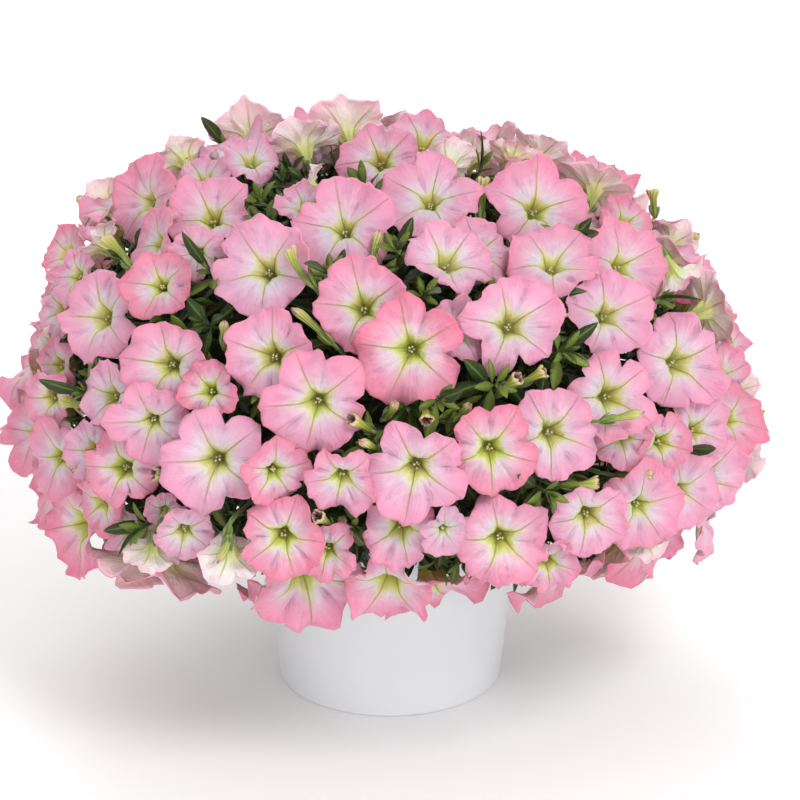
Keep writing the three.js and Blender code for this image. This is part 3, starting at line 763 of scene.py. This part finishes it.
# Each limb takes the first of its shapes that its neighbours leave room for
for number, bloom in enumerate(all_blooms):
    rooms = ROOMS[1:] if crossed[number] else ROOMS
    for attempt in range(DRAWS):
        bloom.take_shape(attempt)
        if fits(number, *rooms[0]):
            break
    else:
        bloom.take_shape(0)
        if not any(fits(number, *room) for room in rooms[1:]):
            trees[number] = limb_tree(bloom)
# Then all limbs grow broader in steps
for growth in GROWTHS:
    for number, bloom in enumerate(all_blooms):
        broadest = max(1.0, BROADEST_LIMB / bloom.radius)
        if bloom.facing.z < DOWNWARD:
            broadest = DOWNWARD_GROWTH
        if growth <= broadest and not crossed[number]:
            fits(number, growth, bloom.liveliness)
petal_pieces = []
for name, blooms in sprays.items():
    spray = Gathering()
    for bloom in blooms:
        spray.add(bloom.tint, build_bloom, bloom)
    petal_pieces.append(spray.piece("petals_" + name[-2:], petal_material, "petals", name))


# Anthers
# Five cream pollen bags stand close together deep in each throat.
ANTHER_STRETCH = 0.6
ANTHER_CIRCLE = 0.045
ANTHER_DEPTH = 0.44
ANTHER_STAGGER = 0.09
ANTHER_STOPS = [(0.35, (0.25, 0.32, 0.08)), (0.6, (0.66, 0.62, 0.36))]


def build_anther(bm, bloom, number):
    angle = 2 * math.pi * number / PETALS
    depth = -ANTHER_DEPTH - ANTHER_STAGGER * math.sin(3 * angle + bloom.turn)
    arm = spoke(bloom.side, bloom.cross, angle)
    place = bloom.middle + (arm * ANTHER_CIRCLE + bloom.facing * depth) * bloom.radius
    for vert in bmesh.ops.create_icosphere(bm, subdivisions=1, radius=0.85 * MM)["verts"]:
        stretch = bloom.facing * vert.co.dot(bloom.facing) * ANTHER_STRETCH
        vert.co = place + vert.co + stretch


anther_material = new_material("cream_anther", {"Roughness": 0.7})
anther_grain = object_noise(anther_material, scale=700.0)
paint(anther_material, ramp(anther_material, anther_grain, ANTHER_STOPS))
anthers = Gathering()
for bloom in all_blooms:
    for number in range(PETALS):
        anthers.add(bloom.tint, build_anther, bloom, number)
anthers.piece("anthers", anther_material, "petals")


# Stems
# Every spray hangs on a round green stem that leaves the dense middle of the plant, and each
# bloom has its own thin stalk, which ends in a calyx of five narrow sepals round the tube.
MOUND_MIDDLE = Vector((-4, 0, 205)) * MM
MOUND_RADIUS = 244 * MM
MOUND_RISE = 180 * MM
MOUND_DROP = 94 * MM
DOME_ROUNDNESS = 2.25
SKIRT_ROUNDNESS = 2.2
# What the mound has more of at its left and at its right
SIDE_FULLNESS = {"dome": (0.3, -0.2), "skirt": (0.9, 1.1), "drop": (8 * MM, 4 * MM)}
MOUND_FLATNESS = 0.82
GOLDEN_TURN = math.pi * (3 - math.sqrt(5))
CORE_SHARE = 0.54
FORK_SHARE = 0.69
FORK_STEP = 5 * MM
STEM_SEAT = 8 * MM
STEM_RADII = [2.9 * MM, 2.8 * MM, 2.7 * MM, 2.5 * MM, 2.2 * MM]
STALK_RADIUS = 1.1 * MM
STALK_PULL = 0.28
SEPALS = 5
SEPAL_LENGTH = 13 * MM
SEPAL_RING = 1.6 * MM
BLADE_THICKNESS = 0.35 * MM
# Places along a leaf blade and its breadth there, as shares of its length and width
LEAF_PROFILE = [
    (0.0, 0.10), (0.10, 0.22), (0.28, 0.74), (0.50, 1.0), (0.74, 0.78), (0.92, 0.34), (1.0, 0.0),
]
STEM_STOPS = [(0.0, (0.033, 0.072, 0.009)), (0.5, (0.11, 0.19, 0.024)), (1.0, (0.30, 0.38, 0.06))]


def mound_level(point):
    """Below 0 inside the mound that the blooms stand on, 0 on it and above 0 outside."""
    away = point - MOUND_MIDDLE
    across = away.xy.length
    sideways = (away.x / across) ** 2 if across > 0 else 0
    side = 0 if away.x < 0 else 1
    if away.z < 0:
        height = MOUND_DROP + SIDE_FULLNESS["drop"][side] * sideways
        power = SKIRT_ROUNDNESS + SIDE_FULLNESS["skirt"][side] * sideways
    else:
        height = MOUND_RISE
        power = DOME_ROUNDNESS + SIDE_FULLNESS["dome"][side] * sideways
    return (across / MOUND_RADIUS) ** power + (abs(away.z) / height) ** power - 1


def mound_normal(point):
    steps = [Vector(axis) * 0.5 * MM for axis in ((1, 0, 0), (0, 1, 0), (0, 0, 1))]
    slopes = [mound_level(point + step) - mound_level(point - step) for step in steps]
    return Vector(slopes).normalized()


def mound_reach(direction):
    inner, outer = 0.0, 1.5 * MOUND_RADIUS
    for _ in range(30):
        half = (inner + outer) / 2
        if mound_level(MOUND_MIDDLE + direction * half) < 0:
            inner = half
        else:
            outer = half
    return inner


def spread_directions(count, lowest, turn=0.0):
    """Directions spread evenly over the mound, from straight up down to the lowest."""
    found = []
    for k in range(count):
        cosine = 1 - ((k + 0.5) / count) * (1 - lowest)
        sine = math.sqrt(1 - cosine * cosine)
        found.append(at_turn(sine, k * GOLDEN_TURN + turn, cosine * MOUND_FLATNESS).normalized())
    return found


def curve_through(start, start_pull, end_pull, end, steps):
    """Points of a smooth curve from start to end, pulled by two more points."""
    points = []
    for k in range(steps + 1):
        t = k / steps
        near, far = (1 - t) ** 3, t ** 3
        points.append(start * near + start_pull * 3 * t * (1 - t) ** 2
                      + end_pull * 3 * t * t * (1 - t) + end * far)
    return points


def add_stem(bm, points, radii, sides=6):
    """A closed round stem along its points."""
    last = len(points) - 1
    aheads = [
        (points[min(k + 1, last)] - points[max(k - 1, 0)]).normalized() for k in range(last + 1)]
    arms = [side_of(aheads[0])]
    for ahead in aheads[1:]:
        arms.append((arms[-1] - ahead * arms[-1].dot(ahead)).normalized())

    def place(column, row):
        k = min(max(row - 1, 0), last)
        if row in (0, last + 2):
            return points[k]
        angle = 2 * math.pi * column / sides
        return points[k] + spoke(arms[k], aheads[k].cross(arms[k]), angle) * radii[k]

    wrap(bm, sides, last + 2, place)


def add_blade(bm, base, along, upward, length, width, droop, fold=0.16):
    """A thin closed blade with a midrib: folded along its middle and bent down to its tip."""
    side = along.cross(upward).normalized()
    lift = side.cross(along).normalized()

    def place(column, row):
        share, breadth = LEAF_PROFILE[row]
        middle = base + along * share * length * (1 - 0.1 * share)
        middle -= lift * droop * length * share ** 2
        if column % 2 == 0:
            across = 0.5 * width * breadth * (1 if column == 0 else -1)
            return middle + side * across + lift * fold * width * breadth
        thickness = BLADE_THICKNESS if column == 1 else -BLADE_THICKNESS
        return middle + lift * thickness * min(1.0, 3 * (1 - share))

    wrap(bm, 4, len(LEAF_PROFILE) - 1, place)


def in_mound(direction, share):
    return MOUND_MIDDLE + direction * share * mound_reach(direction)


branch_directions = spread_directions(count=48, lowest=-0.45)
branch_roots = [in_mound(direction, CORE_SHARE) for direction in branch_directions]


def finder_of(points):
    finder = KDTree(len(points))
    for number, point in enumerate(points):
        finder.insert(point, number)
    finder.balance()
    return finder


branch_finder = finder_of(branch_roots)


def branch_of(name):
    near = [branch_finder.find(corner.co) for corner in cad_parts[name].data.vertices]
    return min(near, key=lambda found: found[2])[1]


def build_stalk(bm, bloom, fork, inward):
    end = bloom.tube_end()
    pull = STALK_PULL * (fork - end).length
    path = curve_through(end, end - bloom.facing * pull, fork - inward * pull, fork, 6)
    add_stem(bm, path, [STALK_RADIUS * 1.5] + [STALK_RADIUS] * 6)
    for sepal in range(SEPALS):
        arm = spoke(bloom.side, bloom.cross, bloom.turn + 2 * math.pi * sepal / SEPALS)
        along = (bloom.facing + arm * bloom.draw.uniform(0.15, 0.5)).normalized()
        length = SEPAL_LENGTH * bloom.draw.uniform(0.8, 1.15)
        root = end - bloom.facing * MM + arm * SEPAL_RING
        droop = bloom.draw.uniform(-0.05, 0.25)
        add_blade(bm, root, along, arm, length, width=3.2 * MM, droop=droop)


stems = Gathering()
for name, blooms in sprays.items():
    number = branch_of(name)
    direction = branch_directions[number]
    fork = in_mound(direction, FORK_SHARE)
    root = branch_roots[number] - direction * STEM_SEAT
    stems.add(0.3, add_stem, [root.lerp(fork, k / 4) for k in range(5)], STEM_RADII)
    ordered = sorted(blooms, key=lambda bloom: (bloom.tube_end() - fork).length)
    for place, bloom in enumerate(ordered):
        joint = fork - direction * FORK_STEP * place
        stems.add(0.35 + 0.4 * bloom.tint, build_stalk, bloom, joint, -direction)

stem_material = new_material("green_stem", {"Roughness": 0.55, "Sheen Weight": 0.3})
stem_patches = object_noise(stem_material, scale=120.0)
stem_tone = unsettled(stem_material, attribute(stem_material, "tint"), stem_patches, 0.5)
paint(stem_material, ramp(stem_material, stem_tone, STEM_STOPS))
add_bump(stem_material, object_noise(stem_material, scale=900.0), distance=0.3 * MM)
stems.piece("stems", stem_material, "foliage")


# Dense middle
# The plant's inner stems and old leaves grow so close that they make one lumpy mass, on
# a crown of thick stems that rises out of the soil. Mass and crown are coloured near black as
# painted shade for the deep inside of the plant.
CORE_LUMP = 9 * MM
CORE_FULLNESS = 0.63
CROWN_STEMS = 11
CROWN_FOOT = 106 * MM
CROWN_TOP = 172 * MM
CROWN_WIDTH = 7 * MM
CROWN_SPREAD = 4.5
TRUNK_RADIUS = 7 * MM
CROWN_STEM_RADIUS = 3 * MM
# Painted shade: near-black greens for the inside of the plant
CORE_SHADE_STOPS = [
    (0.3, (0.004, 0.009, 0.002)), (0.55, (0.018, 0.034, 0.006)), (0.75, (0.046, 0.080, 0.012)),
]


def build_core(bm):
    bmesh.ops.create_icosphere(bm, subdivisions=5, radius=1.0)
    for vert in bm.verts:
        direction = vert.co.normalized()
        lump = CORE_LUMP * (noise.noise(direction * 9) + 0.7 * noise.noise(direction * 21))
        vert.co = MOUND_MIDDLE + direction * (CORE_FULLNESS * mound_reach(direction) + lump)


def build_crown_stem(bm, number):
    turn = number * GOLDEN_TURN
    spread = CROWN_WIDTH * math.sqrt(number / CROWN_STEMS)
    foot = at_turn(spread, turn, CROWN_FOOT)
    top = at_turn(CROWN_SPREAD * spread, turn, CROWN_TOP) + Vector((MOUND_MIDDLE.x, 0, 0))
    path = curve_through(foot, foot + Vector((0, 0, 30 * MM)), top - Vector((0, 0, 20 * MM)), top, 5)
    radius = CROWN_STEM_RADIUS if number else TRUNK_RADIUS
    add_stem(bm, path, [radius] * 6, sides=8)


core = Gathering()
core.add(0.2, build_core)
for number in range(CROWN_STEMS):
    core.add(0.6, build_crown_stem, number)
core_material = new_material("inner_leaves_painted_shade", {"Roughness": 0.8})
core_grain = object_noise(core_material, scale=110.0, detail=5.0)
paint(core_material, ramp(core_material, core_grain, CORE_SHADE_STOPS))
add_bump(core_material, core_grain, distance=6 * MM)
core.piece("dense_middle", core_material, "foliage", "leafy_bush")


# Leafy shoots
# Narrow soft leaves stand round the shoots, fresh green at the tips that push out between the
# blooms; tufts under the petals are painted a darker green as shade. The main shoots are those of
# the frame.
LEAF_LENGTH = 36 * MM
LEAF_WIDTH = 13 * MM
LEAF_TURN = 2.4
FULL_TURN = 6.28
LEAVES_PER_SHOOT = 3
SHOOT_SEAT = 14 * MM
SHOOT_TRIES = 9
SHOOT_RADII = [1.7 * MM] * 3 + [1.5 * MM, 1.3 * MM, 1.0 * MM]
FRAME_MATCH = 0.15 * MM
CLEAR_OF_PETALS = 5 * MM
# Pixels of the photograph where shoot tips show
SHOOT_TIPS = [
    (220, 134), (484, 156), (555, 140), (645, 196), (140, 304), (205, 262), (328, 266),
    (500, 380), (248, 386), (76, 388), (596, 204), (562, 282), (668, 290), (692, 446),
    (550, 490), (662, 532), (348, 536), (132, 528), (205, 545), (398, 240), (440, 395),
    (570, 345), (425, 287), (580, 232),
]
# How likely a tuft is in the open, or under petals high or low on the plant, and its reach
OUTSIDE_SHARE = 1.3
OPEN_SHARE = 0.8
OPEN_CHANCE = 0.75
UPWARD = 0.35
UPWARD_CHANCE = 0.42
LOW_CHANCE = 0.34
TUFT_TIPS = (0.74, 0.95)
TUFT_COVER = 14 * MM
TUFT_LEAN = 0.35
TUFT_TINTS = (0.1, 0.6)
FRESH_SHARE = 0.88
FRESH_TINT = 0.3
TUFT_RADII = [1.5 * MM, 1.4 * MM, 1.3 * MM, 1.1 * MM, 0.8 * MM]
HALF_WAY = 0.12
# Pixels where the sight lines of the photograph would see through the plant
GAP_SPOTS = [
    (123, 239), (675, 305), (126, 501), (139, 507), (551, 501), (267, 195), (285, 158),
    (76, 416), (475, 163),
]
GAP_DEPTH = 30 * MM


def seen_on_mound(pixel_x, pixel_y):
    """The point of the mound that the photograph's sight line through a pixel meets."""
    line = (sight_forward * FOCAL_PIXELS + sight_right * (pixel_x - PICTURE_MIDDLE)
            + sight_up * (PICTURE_MIDDLE - pixel_y)).normalized()
    best, best_level = None, math.inf
    for k in range(427):
        point = sight_eye + line * (SIGHT_DISTANCE - 320 * MM + 1.5 * MM * k)
        level = mound_level(point)
        if level < best_level:
            best, best_level = point, level
        if level < 0:
            break
    return in_mound((best - MOUND_MIDDLE).normalized(), 1)


def seeded_draw(seed):
    """The draw between 0 and 1 that the frame's shoots were made with."""
    full = 0xFFFFFFFF
    state = seed
    while True:
        state = (state + 0x6D2B79F5) & full
        mixed = ((state ^ (state >> 15)) * (1 | state)) & full
        mixed = ((mixed + (((mixed ^ (mixed >> 7)) * (61 | mixed)) & full)) & full) ^ mixed
        yield (mixed ^ (mixed >> 14)) / 4294967296


petals_bm = bmesh.new()
for piece in petal_pieces:
    petals_bm.from_mesh(piece.data)
petal_tree = BVHTree.FromBMesh(petals_bm)
petals_bm.free()
bush_finder = finder_of([corner.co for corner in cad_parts["leafy_bush"].data.vertices])


def in_frame(point):
    return bush_finder.find(point)[2] < FRAME_MATCH


def room_along(base, along, length):
    """How much of a length from a point is free of petals."""
    hit = petal_tree.ray_cast(base, along, length + CLEAR_OF_PETALS)
    return length if hit[0] is None else min(length, hit[3] - CLEAR_OF_PETALS)


def rosette(bm, tip, axis, draw, leaves, length, opening, start_turn=0.0):
    """A star of leaves round the tip of a shoot, the youngest upright in the middle."""
    side = side_of(axis)
    cross = axis.cross(side)
    for k in range(leaves):
        share = k / max(1, leaves - 1)
        outward = spoke(side, cross, start_turn + LEAF_TURN * k + draw.uniform(-0.25, 0.25))
        along = spoke(axis, outward, (0.15 + 1.15 * share) * opening).normalized()
        base = tip - axis * (1 + 13 * share) * MM + outward * 0.8 * MM
        wanted = length * (0.45 + 0.55 * share) * draw.uniform(0.8, 1.15)
        free = room_along(base, along, wanted)
        if free < 0.55 * wanted:
            continue
        width = free * draw.uniform(0.26, 0.36)
        add_blade(bm, base, along, axis, free, width, droop=draw.uniform(0.02, 0.3) * (0.4 + share),
                  fold=draw.uniform(0.1, 0.28))


def shoot_root(direction):
    return MOUND_MIDDLE + direction * (CORE_SHARE * mound_reach(direction) - SHOOT_SEAT)


shoots = Gathering()
upper_leaves = Gathering()
lower_leaves = Gathering()


def main_shoot(tip, seed):
    direction = (tip - MOUND_MIDDLE).normalized()
    root = shoot_root(direction)
    end = tip
    for _ in range(SHOOT_TRIES):
        if in_frame(end):
            break
        end = end.lerp(root, 0.12)
    else:
        return
    shoots.add(0.5, add_stem, [root.lerp(end, k / 5) for k in range(6)], SHOOT_RADII)
    draws = seeded_draw(seed)
    span = (end - root).length
    side = side_of(direction)
    for k in range(LEAVES_PER_SHOOT):
        share = 1 - (0.1 + 0.55 * (k / LEAVES_PER_SHOOT)) * min(1, 60 * MM / span)
        turn = k * LEAF_TURN + FULL_TURN * next(draws)
        spread = 0.25 if k == 0 else 0.75 + 0.25 * next(draws)
        length = LEAF_LENGTH * (0.75 + 0.4 * next(draws))
        along = spoke(direction, spoke(side, direction.cross(side), turn), spread).normalized()
        base = root.lerp(end, share)
        width = LEAF_WIDTH * (0.8 + 0.3 * next(draws))
        tip_lift = along.cross(direction).normalized().cross(along).normalized()
        if in_frame(base + along * length - tip_lift * 2 * MM):
            shoots.add(0.4, add_blade, base, along, direction, length, 0.75 * width, droop=0.10)
    shoots.add(0.85, rosette, end, direction, random.Random(seed), leaves=8, length=24 * MM,
               opening=1.0)


tips = [seen_on_mound(*pixel) for pixel in SHOOT_TIPS]
for direction in spread_directions(count=18, lowest=-0.3, turn=1.1):
    tip = in_mound(direction, 1)
    if mound_normal(tip).dot(sight_forward) > 0:
        tips.append(tip)
for seed, tip in enumerate(tips, start=19):
    main_shoot(tip, seed)


def add_tuft(direction, tip_reach, lean, leaf_draw, turn, tint):
    tip = MOUND_MIDDLE + direction * tip_reach
    axis = (direction + lean).normalized()
    foot = in_mound(direction, CORE_SHARE - 0.05)
    span = (tip - foot).length
    path = curve_through(foot, foot + direction * 0.4 * span, tip - axis * 0.3 * span, tip, 4)
    level = upper_leaves if direction.z > HALF_WAY else lower_leaves
    level.add(tint, add_stem, path, TUFT_RADII, sides=5)
    length = leaf_draw.uniform(22, 36) * MM
    level.add(tint, rosette, tip, axis, leaf_draw, leaves=9, length=length, opening=1.25,
              start_turn=turn)


draw = random.Random(11)
for number, direction in enumerate(spread_directions(count=1500, lowest=-0.62, turn=0.4)):
    reach = mound_reach(direction)
    hit = petal_tree.ray_cast(in_mound(direction, OUTSIDE_SHARE), -direction)
    cover = reach * OUTSIDE_SHARE - hit[3] if hit[0] is not None else 0.0
    in_gap = cover < OPEN_SHARE * reach
    chance = draw.random()
    tip_share = draw.uniform(*TUFT_TIPS)
    lean = Vector([draw.uniform(-1, 1) for _ in range(3)]) * TUFT_LEAN
    tint = draw.uniform(*TUFT_TINTS) + (FRESH_TINT if tip_share > FRESH_SHARE else 0.0)
    if in_gap and chance < OPEN_CHANCE:
        tip_reach = tip_share * reach
    elif not in_gap and chance < (UPWARD_CHANCE if direction.z > UPWARD else LOW_CHANCE):
        tip_reach = min(cover - TUFT_COVER, tip_share * reach)
        # Painted shade: tufts under the petals get a darker green
        tint *= 0.5
    else:
        continue
    add_tuft(direction, tip_reach, lean, random.Random(number), FULL_TURN * chance, tint)
for number, pixel in enumerate(GAP_SPOTS):
    away = seen_on_mound(*pixel) + sight_forward * GAP_DEPTH - MOUND_MIDDLE
    add_tuft(away.normalized(), away.length, lean=Vector((0, -0.5, 0.1)),
             leaf_draw=random.Random(300 + number), turn=number, tint=0.25)

LEAF_STOPS = [
    (0.0, (0.008, 0.018, 0.003)), (0.3, (0.016, 0.036, 0.004)), (0.6, (0.040, 0.076, 0.008)),
    (1.0, (0.19, 0.265, 0.030)),
]
LEAF_RIB = (0.16, 0.24, 0.055, 1)
SIDE_VEINS = 9.0
SIDE_VEIN_SLANT = -2.4

leaf_material = new_material("petunia_leaf", {
    "Roughness": 0.5, "Sheen Weight": 0.05, "Specular IOR Level": 0.3,
    "Subsurface Weight": 0.12, "Subsurface Scale": 1.5 * MM})
on_leaf = partial(calc, leaf_material)
leaf_across, leaf_along = uv_axes(leaf_material)
leaf_noise = object_noise(leaf_material, scale=60.0)
from_rib = from_middle(leaf_material, on_leaf("MULTIPLY", leaf_across, 2.0))
slant = on_leaf("MULTIPLY", from_rib, SIDE_VEIN_SLANT)
side_vein = on_leaf("SINE", on_leaf(
    "MULTIPLY", FULL_TURN, on_leaf("MULTIPLY_ADD", leaf_along, SIDE_VEINS, slant)))
leaf_tone = unsettled(leaf_material, attribute(leaf_material, "tint"), leaf_noise, 0.4)
leaf_tone = on_leaf("MULTIPLY_ADD", side_vein, 0.010, leaf_tone)
rib_share = on_leaf("MULTIPLY", fade(leaf_material, from_rib, 0.10, 0.02), 0.5)
leaf_green = ramp(leaf_material, leaf_tone, LEAF_STOPS)
paint(leaf_material, blend_colour(leaf_material, rib_share, leaf_green, LEAF_RIB))
add_bump(
    leaf_material, on_leaf("MULTIPLY_ADD", side_vein, 0.10, leaf_noise), distance=0.5 * MM)
shoots.piece("leafy_shoots", leaf_material, "foliage")
upper_leaves.piece("upper_leaves", leaf_material, "foliage")
lower_leaves.piece("lower_leaves", leaf_material, "foliage")


# Buds and spent blooms
# Slim ribbed green spindles on short stalks. A bud shows a rolled pink tip, and a spent bloom
# has a limp yellow tube that ends in a curled withered rim round a hollow. The hollow's walls
# darken to a withered purple-brown and, deep in, to near black, which is painted shade.
BUD_DROP = 14 * MM
SMALL_BUD_DROP = 20 * MM
BUD_LIFTS = range(0, 16, 3)
SMALL_BUD_SINKS = range(0, 45, 5)
BUD_COLUMNS = 20
BUD_RIB = 0.12
# Pixels of the photograph where each bud has its tip and its foot. SPENT are tips of BUDS.
BUDS = [
    (78, 199, 92, 204), (116, 248, 132, 267), (291, 257, 315, 283), (222, 316, 214, 337),
    (292, 304, 330, 329), (379, 226, 372, 246), (58, 396, 82, 403), (656, 190, 660, 213),
    (703, 233, 688, 240), (546, 366, 526, 376), (427, 417, 426, 392), (629, 410, 598, 418),
    (758, 411, 746, 400), (592, 262, 562, 287), (600, 478, 572, 487), (227, 545, 229, 514),
]
SPENT = [
    (116, 248), (291, 257), (58, 396), (656, 190), (546, 366), (427, 417), (758, 411), (600, 478),
]
SMALL_BUDS = [
    (161, 144, 172, 162), (185, 153, 182, 172), (34, 286, 52, 292), (360, 437, 374, 446),
    (350, 414, 372, 426), (468, 268, 462, 288), (316, 512, 324, 534), (339, 528, 334, 550),
    (729, 329, 712, 336), (301, 250, 318, 262), (566, 305, 552, 318), (69, 466, 84, 462),
    (484, 172, 488, 190), (610, 205, 602, 220), (520, 372, 508, 384), (395, 398, 384, 410),
    (655, 470, 640, 478), (255, 470, 262, 488), (150, 470, 162, 480), (470, 400, 460, 412),
]
# Rows of a bud or spent bloom, as shares of its length and radii in millimetres
BUD_PROFILE = [
    (0.0, 0.0), (0.02, 1.2), (0.15, 1.8), (0.35, 2.0), (0.55, 2.2), (0.72, 2.7), (0.84, 3.0),
    (0.93, 2.4), (1.0, 0.9), (1.0, 0.0),
]
SPENT_PROFILE = [
    (0.0, 0.0), (0.02, 1.3), (0.2, 1.8), (0.42, 2.0), (0.62, 2.3), (0.76, 2.9), (0.87, 3.8),
    (0.95, 4.3), (1.0, 3.7), (0.96, 2.9), (0.88, 2.0), (0.78, 0.0),
]
BUD_STOPS = [
    (0.0, (0.13, 0.22, 0.03)), (0.35, (0.30, 0.37, 0.06)), (0.68, (0.50, 0.50, 0.15)),
    (0.84, (0.70, 0.46, 0.38)), (1.0, (0.56, 0.20, 0.26)),
]
# Inside the rim a spent bloom darkens to its withered purple-brown and, deep in the hollow, to a
# near black of painted shade
SPENT_STOPS = [
    (0.0, (0.12, 0.20, 0.025)), (0.3, (0.25, 0.31, 0.04)), (0.52, (0.45, 0.43, 0.09)),
    (0.68, (0.62, 0.52, 0.28)), (0.78, (0.42, 0.22, 0.17)), (0.88, (0.12, 0.04, 0.06)),
    (1.0, (0.03, 0.015, 0.015)),
]


def bud_builder(base, tip, profile, raggedness, draw):
    """Draws a bud's bend and twist, and gives what builds it: ribbed, and ragged at its tip."""
    length = (tip - base).length
    axis = (tip - base).normalized()
    side = side_of(axis)
    cross = axis.cross(side)
    bend = side * draw.uniform(-0.12, 0.12) * length
    twist = draw.uniform(0, 2 * math.pi)
    curl = draw.uniform(0.6, 1.1)
    last = len(profile) - 1

    def place(column, row):
        share, radius = profile[row]
        angle = 2 * math.pi * column / BUD_COLUMNS + twist + curl * share
        along = row / last
        ridge = 1 + BUD_RIB * math.cos(5 * (angle - twist))
        ridge += raggedness * along ** 3 * math.sin(3 * angle)
        ridge += 0.5 * raggedness * along ** 2 * math.sin(7 * angle)
        share += 0.4 * raggedness * along ** 4 * math.sin(4 * angle + twist)
        middle = base + axis * share * length + bend * math.sin(math.pi * share)
        return middle + spoke(side, cross, angle) * radius * ridge * MM

    return lambda bm: wrap(bm, BUD_COLUMNS, last, place)


def build_calyx(bm, base, axis, draw):
    side = side_of(axis)
    cross = axis.cross(side)
    for sepal in range(SEPALS):
        arm = spoke(side, cross, 2 * math.pi * sepal / SEPALS + draw.uniform(-0.2, 0.2))
        along = (axis + arm * draw.uniform(0.2, 0.55)).normalized()
        add_blade(bm, base + arm * 1.2 * MM, along, arm, draw.uniform(10, 14) * MM, 3 * MM,
                  droop=draw.uniform(0.0, 0.3))


buds = Gathering()
spent_blooms = Gathering()
calyces = Gathering()


def add_bud(base, tip, is_spent, draw):
    kind, profile, raggedness = (
        (spent_blooms, SPENT_PROFILE, 0.3) if is_spent else (buds, BUD_PROFILE, 0.15))
    build_bud = bud_builder(base, tip, profile, raggedness, draw)
    kind.add(draw.random(), build_bud)
    axis = (tip - base).normalized()
    calyces.add(0.7, build_calyx, base, axis, draw)
    direction = (base - MOUND_MIDDLE).normalized()
    root = shoot_root(direction)
    path = curve_through(
        root, root + direction * 20 * MM, base - axis * 10 * MM, base + axis * MM, steps=5)
    calyces.add(0.6, add_stem, path, [1.5 * MM] * 3 + [1.2 * MM] * 3)


for number, (tip_x, tip_y, base_x, base_y) in enumerate(BUDS):
    seen_tip, seen_base = seen_on_mound(tip_x, tip_y), seen_on_mound(base_x, base_y)
    seen_base -= mound_normal(seen_base) * BUD_DROP
    rise = mound_normal(seen_tip)
    for lift in BUD_LIFTS:
        tip, base = seen_tip + rise * lift * MM, seen_base + rise * lift * MM
        if in_frame(tip):
            break
    add_bud(base, tip, (tip_x, tip_y) in SPENT, random.Random(number))

for number, (tip_x, tip_y, base_x, base_y) in enumerate(SMALL_BUDS):
    tip, base = seen_on_mound(tip_x, tip_y), seen_on_mound(base_x, base_y)
    normal = mound_normal(tip)
    for sink in SMALL_BUD_SINKS:
        low_tip = tip - normal * sink * MM
        low_base = base - normal * (sink * MM + SMALL_BUD_DROP)
        reach = low_tip - low_base
        if room_along(low_base, reach.normalized(), reach.length + CLEAR_OF_PETALS) > reach.length:
            add_bud(low_base, low_tip, number % 2 == 0, random.Random(100 + number))
            break


def bud_skin(name, stops):
    material = new_material(name, {
        "Roughness": 0.55, "Subsurface Weight": 0.15, "Subsurface Scale": 2 * MM})
    across, along = uv_axes(material)
    ten_ribs = calc(material, "SINE", calc(material, "MULTIPLY", across, 10 * math.pi * 2))
    along = calc(material, "MULTIPLY_ADD", ten_ribs, -0.04, along)
    along = unsettled(material, along, object_noise(material, scale=300.0), 0.2)
    paint(material, ramp(material, along, stops))
    add_bump(material, ten_ribs, distance=0.3 * MM)
    return material


buds.piece("buds", bud_skin("bud_skin", BUD_STOPS), "petals")
spent_blooms.piece("spent_blooms", bud_skin("withered_skin", SPENT_STOPS), "petals")
calyces.piece("bud_stalks", stem_material, "foliage")
